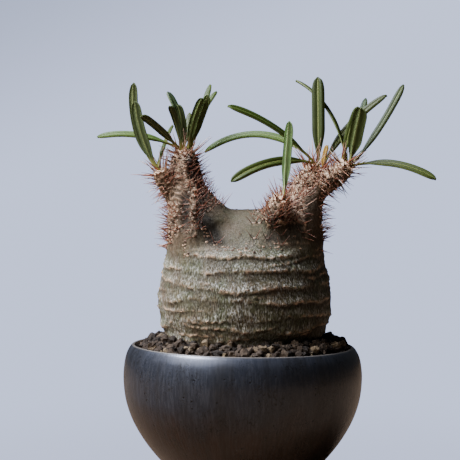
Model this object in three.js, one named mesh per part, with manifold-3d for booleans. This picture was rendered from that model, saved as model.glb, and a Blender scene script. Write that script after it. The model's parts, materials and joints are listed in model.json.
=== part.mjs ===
// Potted caudex plant: a squat swollen trunk with five spiny growing tips and tufts of narrow leaves, in soil
// in a round-bellied ceramic bowl. Millimetres, +Z up, origin at the centre of the bowl's foot. Azimuths are
// in degrees from +X towards +Y; the front of the plant faces -Y.
import * as THREE from 'three';
import { mergeVertices } from 'three/addons/utils/BufferGeometryUtils.js';
import Module from 'manifold-3d';

const wasm = await Module();
wasm.setup();

// Bowl
const RIM_HEIGHT = 78;
const RIM_SLOPE = 0.016; // the rim dips a little to the right
const LEVEL_BELOW = 60; // the bowl is true up to this height
const BOWL_SIDES = 44;
const HOLE_RADIUS = 3.2;
const HOLE_RING = 13;

// Soil
const FIT = 0.3; // gap between pieces that touch
const SOIL_CROWN = 3.5; // height of the mound at the trunk, over the rim
const SOIL_FALL = 5.6; // drop from the trunk to the wall
const SOIL_SLOPE = 0.008; // rise of the soil to the right, per mm
const GRAIN_RISE = 1.7;
const GRAIN_COLUMNS = 92;

// Trunk
const TRUNK_SHIFT = 1; // the trunk stands a little right of the bowl's axis
const TRUNK_SIDES = 40;
const FOLD_HEIGHT = 0.9;
const FOLDS = [84, 89, 95.5, 104, 110.5, 119, 126.5];
const FOLD_DIP = 2.8; // the folds hang lower at the front than at the back by twice this

// Spines
const SPINE_LENGTH = 5.5;
const SPINE_ROOT = 0.62;
const SPINE_SPREAD = 26; // half of the angle between the two spines of a pair

// Leaves
const BLADE = 0.72; // thickness of a blade
const STALK_WIDTH = 1.3;

const rad = THREE.MathUtils.degToRad;
const vec = (x, y, z) => new THREE.Vector3(x, y, z);
const around = (azimuth) => vec(Math.cos(rad(azimuth)), Math.sin(rad(azimuth)), 0);
const smooth = THREE.MathUtils.smoothstep;

// Repeatable draw between 0 and 1
function draws(seed) {
  let state = seed;
  return () => {
    state = (state * 16807) % 2147483647;
    return state / 2147483647;
  };
}

function closedGeometry(points, faces) {
  const geometry = new THREE.BufferGeometry();
  const flat = points.flatMap((p) => [p.x, p.y, p.z]);
  geometry.setAttribute('position', new THREE.Float32BufferAttribute(flat, 3));
  geometry.setIndex(faces.flat());
  return geometry;
}

// Skin through rings of points, the first and the last ring closed by a fan round its middle
function skin(rings, first, last) {
  const n = rings[0].length;
  const faces = [];
  for (let j = 0; j < rings.length - 1; j++) {
    for (let i = 0; i < n; i++) {
      const a = j * n + i;
      const b = j * n + ((i + 1) % n);
      faces.push([a, b, b + n], [a, b + n, a + n]);
    }
  }
  const low = rings.length * n;
  const top = (rings.length - 1) * n;
  for (let i = 0; i < n; i++) {
    faces.push([low, (i + 1) % n, i]);
    faces.push([low + 1, top + i, top + ((i + 1) % n)]);
  }
  return closedGeometry([...rings.flat(), first, last], faces);
}

function solid(geometry) {
  geometry.deleteAttribute('normal');
  geometry.deleteAttribute('uv');
  const merged = mergeVertices(geometry, 1e-4);
  const vertProperties = new Float32Array(merged.attributes.position.array);
  const triVerts = new Uint32Array(merged.index.array);
  return new wasm.Manifold(new wasm.Mesh({ numProp: 3, vertProperties, triVerts }));
}

function geometryOf(manifold) {
  const mesh = manifold.getMesh();
  const geometry = new THREE.BufferGeometry();
  geometry.setAttribute('position', new THREE.BufferAttribute(mesh.vertProperties, 3));
  geometry.setIndex(new THREE.BufferAttribute(mesh.triVerts, 1));
  geometry.computeVertexNormals();
  return geometry;
}

const part = new THREE.Group();

function piece(name, geometry, color, roughness) {
  const mesh = new THREE.Mesh(geometry, new THREE.MeshStandardMaterial({ color, roughness, metalness: 0 }));
  mesh.name = name;
  part.add(mesh);
}

// Bowl: thrown body with a round belly, a shoulder that turns in to a rounded rim, and a plain foot
const rimLift = (x, z) => Math.max(0, (z - LEVEL_BELOW) / (RIM_HEIGHT - LEVEL_BELOW)) * -RIM_SLOPE * x;

function tiltRim(geometry) {
  const p = geometry.attributes.position;
  for (let i = 0; i < p.count; i++) p.setZ(i, p.getZ(i) + rimLift(p.getX(i), p.getZ(i)));
  return geometry;
}

function turned(profile) {
  const geometry = new THREE.LatheGeometry(profile.map(([r, z]) => new THREE.Vector2(r, z)), BOWL_SIDES);
  return tiltRim(geometry.rotateX(Math.PI / 2));
}

const OUTSIDE = [
  [0, 0], [26.6, 0], [26.6, 5.6], [28.4, 7.8], [34.4, 13], [41, 19.7], [47.3, 27.2], [52.2, 34.5],
  [56.2, 42.4], [59, 51.5], [60, 61], [59.6, 68], [58.5, 73], [56.9, 76.2], [55.6, 77.6],
];
const INSIDE = [
  [54.4, 76.6], [55.2, 68], [55, 56], [51.6, 42], [45.2, 30], [34.6, 18], [20, 9.4], [0, 7.6],
];
const drainHoles = [];
for (let k = 0; k < 3; k++) {
  const hole = new THREE.CylinderGeometry(HOLE_RADIUS, HOLE_RADIUS, 30, 12).rotateX(Math.PI / 2);
  const centre = around(90 + 120 * k).multiplyScalar(HOLE_RING);
  drainHoles.push(solid(hole.translate(centre.x, centre.y, 5)));
}
const wall = solid(turned([...OUTSIDE, [54.7, 77.7], ...INSIDE]));
const bowl = drainHoles.reduce((body, hole) => body.subtract(hole), wall);
piece('pot', geometryOf(bowl), '#2b2d31', 0.38);

// Trunk: rows of points from the buried base over the ring folds to the shoulder
const BASE = [[64, 16], [68.5, 28.4], [74, 34.8], [79.5, 37.8]];
const BELLY = new THREE.SplineCurve(
  [
    [82, 38.8], [88, 41.2], [94, 42.8], [100, 43.4], [106, 43], [112, 42.1], [118, 40.7], [124, 39.1],
    [130, 36.6],
  ].map(([z, r]) => new THREE.Vector2(z, r)),
);
const SHOULDER = [
  [131.5, 35.8], [136, 32.6], [139.6, 28.8], [142.4, 24.4], [144.4, 18.6], [145.6, 12.4], [146, 6],
];

const bellyRadius = (z) => BELLY.getPoint(THREE.MathUtils.clamp((z - 82) / 48, 0, 1)).y;
const foldWave = (k, azimuth) => {
  const dip = Math.min(FOLD_DIP, 0.9 + 1.1 * k) * Math.cos(rad(azimuth - 95 + 5 * k));
  return dip + 0.6 * Math.sin(rad(3 * azimuth + 130 * k));
};
const outOfRound = (z, azimuth) => 1 + 0.15 * smooth(z, 120, 143) * Math.cos(rad(2 * azimuth));
const lean = (z) => TRUNK_SHIFT + 0.5 * smooth(z, 120, 140);

function trunkPoint(z, radius, azimuth) {
  const r = radius * outOfRound(z, azimuth);
  return around(azimuth).multiplyScalar(r).add(vec(lean(z), 0, z));
}

function trunkRow(z, radius, wave = () => 0) {
  return Array.from({ length: TRUNK_SIDES }, (_, i) => {
    const azimuth = (360 * i) / TRUNK_SIDES;
    return trunkPoint(z + wave(azimuth), typeof radius === 'number' ? radius : radius(azimuth), azimuth);
  });
}

const trunkRows = BASE.map(([z, r]) => trunkRow(z, r));
FOLDS.forEach((z, k) => {
  const wave = (azimuth) => foldWave(k, azimuth);
  const next = FOLDS[k + 1] ?? 132;
  const height = (azimuth) => FOLD_HEIGHT * (0.65 + 0.45 * Math.sin(rad(azimuth + 115 * k)));
  trunkRows.push(trunkRow(z - 0.9, (azimuth) => bellyRadius(z - 0.9) - 0.35 * height(azimuth), wave));
  trunkRows.push(trunkRow(z + 0.3, (azimuth) => bellyRadius(z + 0.3) + 0.65 * height(azimuth), wave));
  const middle = (z + 0.3 + next) / 2;
  const between = (azimuth) => (foldWave(k, azimuth) + foldWave(k + 1, azimuth)) / 2;
  trunkRows.push(trunkRow(middle, bellyRadius(middle), between));
});
SHOULDER.forEach(([z, r]) => trunkRows.push(trunkRow(z, r)));
const trunk = solid(skin(trunkRows, vec(TRUNK_SHIFT, 0, 62.5), vec(lean(146), 0, 146)));

// Limbs: stations [x, y, z, radius] from inside the trunk to the growing tip; bare is the spineless strip, as
// azimuth from, azimuth to and share of the length; spines is the number of pairs and where they begin
const LIMBS = {
  left_arm: {
    stations: [
      [-18.6, -12.5, 125, 15.5], [-21.4, -13, 133.5, 15.3], [-23.4, -11, 141, 13.9],
      [-25.3, -7.6, 147.5, 11.8], [-26.9, -4.6, 153, 9.8], [-28, -2.5, 158.5, 8.5],
      [-28.8, -1, 165.5, 7.6], [-29.2, 0, 170.8, 6.6], [-29.3, 0, 174.4, 5],
    ],
    sides: 16,
    bare: [252, 290, 0.62],
    spines: [78, 0.1],
  },
  left_branchlet: {
    stations: [
      [-29, -3, 148.5, 5.8], [-34.4, -6, 154.2, 4.9], [-38.7, -8, 159.8, 4.3], [-41.2, -9, 165, 3.9],
    ],
    sides: 10,
    bare: [0, 0, 0],
    spines: [24, 0.35],
  },
  right_arm: {
    stations: [
      [20, -9, 125, 15.5], [24, -9.6, 134.5, 15.4], [27.2, -7.4, 142.5, 12.8], [30, -3.4, 149.5, 9.8],
      [31.8, -1, 155, 7.9], [33.6, 0, 160, 6.6], [35.6, 1, 163.5, 5.6], [36.8, 1, 165.6, 4.8],
    ],
    sides: 14,
    bare: [262, 335, 0.66],
    spines: [54, 0.1],
  },
  right_fork: {
    stations: [
      [32.4, 0, 152, 6.6], [38, -1, 157, 6], [44.2, -2, 161.4, 5.5], [49.4, -3, 165, 4.9],
      [51.6, -3, 168, 4.2],
    ],
    sides: 12,
    bare: [0, 0, 0],
    spines: [34, 0.3],
  },
  front_branchlet: {
    stations: [
      [18, -15, 131, 9.6], [17.2, -21, 138.5, 6.4], [17.6, -24.4, 145.5, 5.3], [18.8, -26.4, 151.6, 4.3],
    ],
    sides: 12,
    bare: [0, 0, 0],
    spines: [30, 0.25],
  },
};

function limbShape({ stations, sides }) {
  const path = new THREE.CatmullRomCurve3(stations.map(([x, y, z]) => vec(x, y, z)));
  const girth = new THREE.SplineCurve(stations.map((s, i) => new THREE.Vector2(i, s[3])));
  const count = stations.length * 2;
  const frames = path.computeFrenetFrames(count, false);
  const ring = (k, shrink, push) => {
    const t = k / count;
    const r = girth.getPoint(t).y;
    return Array.from({ length: sides }, (_, i) => {
      const angle = (2 * Math.PI * i) / sides;
      const uneven = r * shrink * (1 + 0.03 * Math.sin(3 * angle + 1.7 * k));
      return path.getPoint(t)
        .addScaledVector(frames.normals[k], Math.cos(angle) * uneven)
        .addScaledVector(frames.binormals[k], Math.sin(angle) * uneven)
        .addScaledVector(frames.tangents[k], push * r);
    });
  };
  return { path, girth, frames, count, ring };
}

function limbSolid(limb) {
  const { path, girth, frames, count, ring } = limbShape(limb);
  const rings = [];
  for (let k = 0; k <= count; k++) rings.push(ring(k, 1, 0));
  rings.push(ring(count, ...CAP_RING));
  const tip = path.getPoint(1).addScaledVector(frames.tangents[count], girth.getPoint(1).y * CAP_TOP);
  return solid(skin(rings, path.getPoint(0), tip));
}

// The growing tip is a low dome; heights and distances are in shares of its radius
const CAP_RING = [0.78, 0.3];
const CAP_TOP = 0.42;
const capHeight = (x) => {
  const [edge, height] = CAP_RING;
  return x < edge ? CAP_TOP - ((CAP_TOP - height) * x) / edge : (height * (1 - x)) / (1 - edge);
};

function crownOf(limb) {
  const { path, girth, frames, count } = limbShape(limb);
  return { centre: path.getPoint(1), axis: frames.tangents[count], radius: girth.getPoint(1).y };
}

// Leaves: [tip it grows on, azimuth and distance of its foot on the tip, heading, turn of the heading along
// the leaf, rise at the foot, rise at the end, length, width, roll about the midrib, fold]
const LEAVES = [
  ['left_branchlet', 262, 1.9, 188, 0, 58, 86, 35.5, 6, 50, 14],
  ['left_branchlet', 132, 1.9, 172, 2, 55, 97, 45, 5.4, 60, 14],
  ['left_branchlet', 85, 1.9, 82, -8, 36, 34, 37, 3.4, -45, 16],
  ['left_arm', 178, 3.6, 178, -10, 28, -13, 42, 4.8, -30, 12],
  ['left_arm', 210, 3.6, 219, 18, 43, 20, 30.5, 4.4, 25, 16],
  ['left_arm', 122, 3.4, 131, 10, 97, 47, 31.5, 4.6, 0, 16],
  ['left_arm', 238, 3.6, 223, 40, 92, 26, 26, 4.2, -15, 20],
  ['left_arm', 265, 3.4, 247, -15, 96, 61, 23, 4.4, -10, 20],
  ['left_arm', 88, 3.4, 85, -3, 35, 53, 26, 4, -50, 16],
  ['left_arm', 309, 3.6, 306, 1, 80, 48, 28, 4.6, -62, 18],
  ['left_arm', 334, 3.6, 328, -35, 74, 46, 30.5, 4.8, -75, 18],
  ['left_arm', 62, 3.6, 61, 0, 48, 62, 40, 4.8, -30, 14],
  ['left_arm', 22, 3.8, 23, 21, 80, 43, 33.5, 4.6, -10, 14],
  ['right_arm', 205, 3, 205, -9, 48, 15, 55, 5.4, -35, 12],
  ['right_arm', 150, 3, 148, 28, 49, -39, 65, 5.4, -30, 12],
  ['right_arm', 240, 3.6, 211, -16, 16, -37, 49, 5.6, -45, 12],
  ['right_arm', 80, 1, 92, 0, 86, 80, 45.5, 7.2, -32, 12],
  ['right_arm', 30, 3, 31, -38, 63, 32, 51, 5.2, 30, 14],
  ['right_arm', 330, 3, 325, 2, 84, 70, 12.5, 3, 70, 16],
  ['right_fork', 125, 2.6, 141, 1, 82, 23, 54, 3.2, 5, 14],
  ['right_fork', 190, 2.6, 352, -8, 84, 66, 27.5, 4.4, 58, 20],
  ['right_fork', 290, 2.8, 293, -4, 70, 58, 30.5, 8, -57, 24],
  ['right_fork', 58, 2.7, 72, -19, 50, 68, 39, 4.8, -20, 14],
  ['right_fork', 20, 2.7, 11, 13, 50, 62, 49, 5, 15, 14],
  ['right_fork', 340, 3.4, 331, 11, 14, -32, 44.5, 5.2, 30, 12],
  ['front_branchlet', 320, 1, 300, -10, 84, 78, 37, 5, -60, 20],
];
const LEAF_STEPS = [0, 0.07, 0.16, 0.28, 0.45, 0.65, 0.82, 0.92, 0.98, 1];

function leafWidth(t, width) {
  const body = STALK_WIDTH + (width - STALK_WIDTH) * smooth(t, 0.05, 0.42);
  return body * Math.sqrt(Math.max(0.02, 1 - Math.max(0, (t - 0.8) / 0.2) ** 2.6));
}

function leafPath([tip, azimuth, distance, heading, turn, rise, riseEnd, length]) {
  const { centre, axis, radius } = crownOf(LIMBS[tip]);
  const flat = around(azimuth);
  const out = flat.clone().addScaledVector(axis, -flat.dot(axis)).normalize();
  const clear = 0.35 + 0.75 * Math.cos(rad(rise));
  const height = radius * capHeight(distance / radius) + clear;
  const point = centre.clone().addScaledVector(out, distance).addScaledVector(axis, height);
  const fine = 60;
  const points = [point.clone()];
  const frames = [];
  for (let i = 0; i <= fine; i++) {
    const t = i / fine;
    const a = rad(heading + turn * t);
    const e = rad(rise + (riseEnd - rise) * t);
    const along = vec(Math.cos(e) * Math.cos(a), Math.cos(e) * Math.sin(a), Math.sin(e));
    frames.push({ along, side: vec(-Math.sin(a), Math.cos(a), 0) });
    point.addScaledVector(along, length / fine);
    points.push(point.clone());
  }
  return { points, frames, fine };
}

function leafGeometry(row) {
  const { points, frames, fine } = leafPath(row);
  const [width, roll, fold] = row.slice(8);
  const corners = [];
  for (const t of LEAF_STEPS) {
    const k = Math.round(t * fine);
    const { along, side } = frames[k];
    const across = side.clone().applyAxisAngle(along, rad(roll * smooth(t, 0, 0.3)));
    const up = along.clone().cross(across);
    const half = leafWidth(t, width) / 2;
    const lift = half * Math.tan(rad(fold));
    const thick = (BLADE + 0.4 * (1 - smooth(t, 0, 0.2))) / 2;
    for (const face of [thick, -thick]) {
      for (const s of [-1, 0, 1]) {
        const p = points[k].clone().addScaledVector(across, -s * half);
        corners.push(p.addScaledVector(up, face + Math.abs(s) * lift));
      }
    }
  }
  const faces = [[0, 4, 1], [0, 3, 4], [1, 5, 2], [1, 4, 5]];
  const last = corners.length - 6;
  faces.push(...faces.map((f) => [f[0] + last, f[2] + last, f[1] + last]));
  for (let b = 0; b < last; b += 6) {
    for (const s of [0, 1]) {
      faces.push([b + s, b + s + 1, b + s + 7], [b + s, b + s + 7, b + s + 6]);
      faces.push([b + s + 3, b + s + 10, b + s + 4], [b + s + 3, b + s + 9, b + s + 10]);
    }
    faces.push([b + 2, b + 5, b + 11], [b + 2, b + 11, b + 8]);
    faces.push([b + 3, b, b + 6], [b + 3, b + 6, b + 9]);
  }
  return closedGeometry(corners, faces);
}

const leafPaths = LEAVES.map((row) => {
  const reach = (i) => leafWidth(i / 60, row[8]) / 2;
  return leafPath(row).points.map((point, i) => ({ point, reach: reach(i) })).filter((_, i) => i % 2 === 0);
});

// Spines: in pairs, each a slim three-sided thorn with its root sunk in the bark, left out beside a leaf
const clearOfLeaves = (p, gap) =>
  leafPaths.every((path) => path.every(({ point, reach }) => p.distanceTo(point) > reach + gap));

function thorn(root, direction, length) {
  const side = Math.abs(direction.z) > 0.8 ? vec(1, 0, 0) : vec(0, 0, 1);
  const a = side.clone().cross(direction).normalize();
  const b = direction.clone().cross(a);
  const foot = root.clone().addScaledVector(direction, -1.4);
  const base = [90, 210, 330].map((angle) => {
    const corner = foot.clone().addScaledVector(a, SPINE_ROOT * Math.cos(rad(angle)));
    return corner.addScaledVector(b, SPINE_ROOT * Math.sin(rad(angle)));
  });
  const point = root.clone().addScaledVector(direction, length);
  return closedGeometry([...base, point], [[0, 2, 1], [0, 1, 3], [1, 2, 3], [2, 0, 3]]);
}

function pairOfThorns(root, out, along, tilt, length) {
  const swing = out.clone().cross(along).normalize();
  return [-1, 1].map((s) => {
    const spread = Math.tan(rad(SPINE_SPREAD)) * s;
    const direction = out.clone().addScaledVector(swing, spread).addScaledVector(along, tilt).normalize();
    return { root: root.clone().addScaledVector(swing, 0.5 * s), direction, length };
  });
}

const thorns = [];
Object.values(LIMBS).forEach((limb, which) => {
  const { path, girth, frames, count } = limbShape(limb);
  const draw = draws(333 + 77 * which);
  const [pairs, start] = limb.spines;
  for (let k = 0; k < pairs; k++) {
    const t = start + ((0.99 - start) * (k + 0.5)) / pairs;
    const azimuth = (k * 137.5 + 20 * draw()) % 360;
    const bare = azimuth > limb.bare[0] && azimuth < limb.bare[1] && t < limb.bare[2];
    const i = Math.round(t * count);
    const along = frames.tangents[i];
    const flat = around(azimuth);
    const out = flat.addScaledVector(along, -flat.dot(along)).normalize();
    const root = path.getPoint(t).addScaledVector(out, girth.getPoint(t).y * 0.97);
    const length = SPINE_LENGTH * (0.55 + 0.3 * smooth(t, 0.1, 0.5) + 0.3 * draw());
    if (!bare) thorns.push(...pairOfThorns(root, out, along, 0.35 + 0.8 * smooth(t, 0.85, 1), length));
  }
});

const limbs = Object.values(LIMBS).map(limbSolid);
const clearThorns = thorns.filter(({ root, direction, length }) =>
  [0, 0.33, 0.66, 1].every((s) => clearOfLeaves(root.clone().addScaledVector(direction, s * length), 1.6)));
const spikes = clearThorns.map(({ root, direction, length }) => solid(thorn(root, direction, length)));
const caudex = wasm.Manifold.union([trunk, ...limbs, ...spikes]);
piece('caudex', geometryOf(caudex), '#7a7566', 0.85);

// Soil: fills the bowl, mounded at the trunk, its top a relief of coarse grains, with a pocket for the trunk
const WALL_GAP = INSIDE.map(([r, z]) => [Math.max(0, r - FIT), z + (r < 40 ? FIT : 0)]);
const soilTop = (x, r) =>
  RIM_HEIGHT + SOIL_SLOPE * x + SOIL_CROWN - SOIL_FALL * Math.max(0, (r - 41) / 13) ** 2;

const lowSoil = solid(turned([...WALL_GAP.slice(1).reverse(), [54.5, 72], [0, 72]]));
const grainDraw = draws(90210);
const grainRow = (r, level, rough) =>
  Array.from({ length: GRAIN_COLUMNS }, (_, i) => {
    const high = (i + level) % 2 === 0;
    const bump = high ? GRAIN_RISE * (0.35 + 0.65 * grainDraw()) : -0.4 * grainDraw();
    const shift = rough * (grainDraw() - 0.5);
    const point = around((360 * (i + 0.9 * shift)) / GRAIN_COLUMNS).multiplyScalar(r + 1.2 * shift);
    return point.setZ(soilTop(point.x, r) + rough * bump);
  });
const rim = (r, z) => Array.from({ length: GRAIN_COLUMNS }, (_, i) => {
  const point = around((360 * i) / GRAIN_COLUMNS).multiplyScalar(r);
  return point.setZ(z + rimLift(point.x, z));
});
const topRows = [rim(53.8, 71), rim(54, 76)];
[52.4, 49.9, 47.3, 44.7, 42].forEach((r, level) => topRows.push(grainRow(r, level, 1)));
topRows.push(grainRow(38, 0, 0));
const topSoil = solid(skin(topRows, vec(0, 0, 71), vec(0, 0, 80)));
const pocketRows = BASE.map(([z, r]) => trunkRow(z - FIT, r + FIT));
pocketRows.push(trunkRow(83, 40.9), trunkRow(92, 45));
const pocket = solid(skin(pocketRows, vec(TRUNK_SHIFT, 0, 62), vec(TRUNK_SHIFT, 0, 92)));
piece('soil', geometryOf(lowSoil.add(topSoil).subtract(pocket)), '#6b5a47', 0.95);

const leafCount = {};
LEAVES.forEach((row) => {
  leafCount[row[0]] = (leafCount[row[0]] ?? 0) + 1;
  piece(`leaf_${row[0]}_${leafCount[row[0]]}`, leafGeometry(row), '#4d5a2a', 0.5);
});

export default part;
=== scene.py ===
import json
import math

import bpy
import numpy as np
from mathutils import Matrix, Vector, noise

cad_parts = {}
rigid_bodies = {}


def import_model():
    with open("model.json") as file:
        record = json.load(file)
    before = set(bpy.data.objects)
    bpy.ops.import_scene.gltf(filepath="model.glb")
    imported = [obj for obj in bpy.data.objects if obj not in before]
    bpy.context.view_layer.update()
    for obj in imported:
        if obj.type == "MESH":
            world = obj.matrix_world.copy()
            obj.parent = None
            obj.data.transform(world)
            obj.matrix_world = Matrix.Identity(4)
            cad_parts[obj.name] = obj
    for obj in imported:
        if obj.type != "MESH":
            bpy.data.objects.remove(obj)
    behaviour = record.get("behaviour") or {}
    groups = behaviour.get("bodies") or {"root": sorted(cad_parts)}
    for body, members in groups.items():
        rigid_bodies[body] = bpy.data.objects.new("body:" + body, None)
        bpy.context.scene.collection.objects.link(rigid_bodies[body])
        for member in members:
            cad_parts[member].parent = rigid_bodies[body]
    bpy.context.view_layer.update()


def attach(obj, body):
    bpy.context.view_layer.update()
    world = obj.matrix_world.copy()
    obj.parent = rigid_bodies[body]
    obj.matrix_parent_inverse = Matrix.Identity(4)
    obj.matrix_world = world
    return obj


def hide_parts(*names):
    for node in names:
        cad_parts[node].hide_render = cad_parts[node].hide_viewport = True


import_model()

# Camera, floor and light
# The camera stands 0.9 m in front of the plant and looks down a little. The floor is one pale sheet that
# meets a backdrop of its own colour. A window, which makes no mirror image in the glaze, a small skylight
# and a dim pale wall light the plant from the left, and leave its right side in shade.
MM = 0.001
CAMERA_AT = (-6.4 * MM, -900 * MM, 175 * MM)
LOOKS_DOWN = 2.5
LENS = 140.4
BACKDROP = "#b8c3e4"
BACKDROP_LIGHT = 1.75
FLOOR_RADIUS = 8
FLOOR_SIDES = 64
LAMPS_AIM = (0, 0, 0.1)


def linear(code):
    """An sRGB hex colour as linear RGBA."""
    parts = [int(code[i : i + 2], 16) / 255 for i in (1, 3, 5)]
    return [c / 12.92 if c <= 0.04045 else ((c + 0.055) / 1.055) ** 2.4 for c in parts] + [1.0]


def add(tree, kind, links=(), **settings):
    """Adds a node; a kind without Node in its name is a ShaderNode. links holds what goes into its inputs, in
    their order or paired with an input's name: a value, a hex colour, a socket, or a node, whose first output
    in use is taken."""
    made = tree.nodes.new(kind if "Node" in kind else "ShaderNode" + kind)
    for key, value in settings.items():
        setattr(made, key, value)
    in_use = [socket for socket in made.inputs if socket.enabled]
    for place, value in enumerate(links):
        named = isinstance(value, tuple) and isinstance(value[0], str)
        into, value = (made.inputs[value[0]], value[1]) if named else (in_use[place], value)
        if isinstance(value, bpy.types.Node):
            value = next(socket for socket in value.outputs if socket.enabled)
        if isinstance(value, bpy.types.NodeSocket):
            tree.links.new(value, into)
        else:
            into.default_value = linear(value) if str(value).startswith("#") else value
    return made


def new_material(name):
    """A material and its node tree, which is empty."""
    made = bpy.data.materials.new(name)
    made.use_nodes = True
    made.node_tree.nodes.clear()
    return made, made.node_tree


camera = bpy.data.objects.new("camera", bpy.data.cameras.new("camera"))
camera.data.sensor_width = 36
camera.data.lens = LENS
camera.data.clip_start = 0.01
camera.location = CAMERA_AT
camera.rotation_euler = (math.radians(90 - LOOKS_DOWN), 0, 0)
bpy.context.collection.objects.link(camera)
bpy.context.scene.camera = camera

world = bpy.data.worlds.new("room")
world.use_nodes = True
bpy.context.scene.world = world
tree = world.node_tree
tree.nodes.clear()
seen = add(tree, "LightPath")
room = add(tree, "Background", [("Color", "#c3ccda"), ("Strength", 0.06)])
way = add(tree, "SeparateXYZ", [add(tree, "TexCoord").outputs["Generated"]])
corner = add(tree, "Math", [way.outputs["X"], -0.45, way.outputs["Z"]], operation="MULTIPLY_ADD")
falloff = add(tree, "MapRange", [corner, 0.03, 0.16, BACKDROP_LIGHT, 1.12], interpolation_type="SMOOTHSTEP")
sheet = add(tree, "Background", [("Color", BACKDROP), ("Strength", falloff)])
both = add(tree, "MixShader", [seen.outputs["Is Camera Ray"], room, sheet])
add(tree, "OutputWorld", [both])

floor_material, tree = new_material("painted_board")
seen = add(tree, "LightPath")
from_middle = add(tree, "VectorMath", [add(tree, "TexCoord").outputs["Object"]], operation="LENGTH")
far_off = add(tree, "MapRange", [from_middle, 0.06, 0.4, 0.86, 1], interpolation_type="SMOOTHSTEP")
painted = add(tree, "BsdfDiffuse", [("Color", "#5e5042"), ("Roughness", 0.6)])
glow = add(tree, "Emission", [("Color", BACKDROP), ("Strength", BACKDROP_LIGHT)])
share = add(tree, "Math", [seen.outputs["Is Camera Ray"], far_off], operation="MULTIPLY")
both = add(tree, "MixShader", [share, painted, glow])
add(tree, "OutputMaterial", [both])

floor_mesh = bpy.data.meshes.new("floor")
turns = [2 * math.pi * i / FLOOR_SIDES for i in range(FLOOR_SIDES)]
rim = [(FLOOR_RADIUS * math.cos(a), FLOOR_RADIUS * math.sin(a), 0) for a in turns]
floor_mesh.from_pydata(rim, [], [list(range(FLOOR_SIDES))])
floor_mesh.materials.append(floor_material)
floor = bpy.data.objects.new("floor", floor_mesh)
bpy.context.collection.objects.link(floor)

for name, place, size, power, colour, mirrored in [
    ("window", (-1.06, -0.3, 0.9), (1.4, 1.2), 38, "#fffaf3", False),
    ("skylight", (-0.66, -0.04, 1.26), (0.56, 0.42), 46, "#e0e9ff", True),
    ("pale_wall", (-0.8, -0.46, 0.98), (1.0, 0.9), 11, "#dfe7ff", True),
]:
    lamp = bpy.data.objects.new(name, bpy.data.lights.new(name, "AREA"))
    lamp.data.shape = "RECTANGLE"
    lamp.data.size, lamp.data.size_y = size
    lamp.data.energy = power
    lamp.data.color = linear(colour)[:3]
    lamp.location = place
    lamp.rotation_euler = (Vector(LAMPS_AIM) - lamp.location).to_track_quat("-Z", "Y").to_euler()
    lamp.visible_camera = False
    lamp.visible_glossy = mirrored
    bpy.context.collection.objects.link(lamp)

# Bowl
# Wheel-thrown stoneware bowl with a round belly, an inturned shoulder and a rounded lip, on a plain foot
# with three drain holes. A dark iron glaze covers all but the underside and the holes, which are bare clay.
RIM_HEIGHT = 78.0
RIM_SLOPE = 0.016
LEVEL_BELOW = 60.0
BOWL_SIDES = 160
OUTSIDE = [
    (28.4, 7.8), (34.4, 13), (41, 19.7), (47.3, 27.2), (52.2, 34.5), (56.2, 42.4), (59, 51.5), (60, 61),
    (59.6, 68), (58.5, 73), (56.9, 76.2), (55.6, 77.6),
]
LIP = [(54.8, 77.75)]
INSIDE = [(54.4, 76.6), (55.2, 68), (55, 56), (51.6, 42), (45.2, 30), (34.6, 18), (20, 9.4), (0, 7.6)]
FOOT = [(0, 0), (12, 0), (22, 0), (26, 0), (26.45, 0.15), (26.6, 0.6), (26.6, 3), (26.7, 5.2), (27.2, 6.5)]
DRAIN_HOLES = 3
DRAIN_RADIUS = 3.2
DRAIN_RING = 13
DRAIN_SIDES = 40
DRAIN_FROM, DRAIN_TO = -4, 14
SHARP_EDGE = 38


def curve_through(points, steps):
    """A smooth curve through all the points, with so many steps between two of them."""
    p = np.array(points, float)
    p = np.vstack([2 * p[0] - p[1], p, 2 * p[-1] - p[-2]])
    out = []
    for i in range(1, len(p) - 2):
        for t in np.arange(steps) / steps:
            a, b, c, d = p[i - 1 : i + 3]
            cubic = (3 * b - a - 3 * c + d) * t**3
            out.append(0.5 * (2 * b + (c - a) * t + (2 * a - 5 * b + 4 * c - d) * t**2 + cubic))
    return np.array(out + [p[-2]])


def plain_object(name, mesh):
    made = bpy.data.objects.new(name, mesh)
    bpy.context.collection.objects.link(made)
    return made


def skin(name, rings, first=None, last=None):
    """A mesh, in metres, through rings of points in mm, closed at the ends by a fan round first and last."""
    rings = np.array(rings, float)
    rows, n = rings.shape[:2]
    points = rings.reshape(-1, 3)
    faces = []
    for j in range(rows - 1):
        for i in range(n):
            a, b = j * n + i, j * n + (i + 1) % n
            faces.append((a, b, b + n, a + n))
    for end, row, flip in ((first, 0, True), (last, rows - 1, False)):
        if end is not None:
            points = np.vstack([points, end])
            for i in range(n):
                edge = (row * n + i, row * n + (i + 1) % n)
                faces.append((len(points) - 1, *(edge[::-1] if flip else edge)))
    mesh = bpy.data.meshes.new(name)
    mesh.from_pydata((points * MM).tolist(), [], faces)
    mesh.update()
    return mesh


def around(azimuth, radius, z):
    a = np.radians(azimuth)
    return np.stack([radius * np.cos(a), radius * np.sin(a), z + 0 * a], -1)


def rim_lift(x, z):
    return np.maximum(0, (z - LEVEL_BELOW) / (RIM_HEIGHT - LEVEL_BELOW)) * -RIM_SLOPE * x


def turned(name, profile, sides):
    """A body of revolution from a profile of (radius, height) that starts and ends on the axis."""
    angles = np.arange(sides) * 360 / sides
    rings = []
    for r, z in profile[1:-1]:
        ring = around(angles, r, z)
        ring[:, 2] += rim_lift(ring[:, 0], z)
        rings.append(ring)
    return skin(name, rings, (0, 0, profile[0][1]), (0, 0, profile[-1][1]))


def finished(source, name):
    """What the modifiers on an object make, as a plain mesh object of its own; the source is removed."""
    depsgraph = bpy.context.evaluated_depsgraph_get()
    mesh = bpy.data.meshes.new_from_object(source.evaluated_get(depsgraph))
    mesh.name = name
    bpy.data.objects.remove(source)
    return plain_object(name, mesh)


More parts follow.
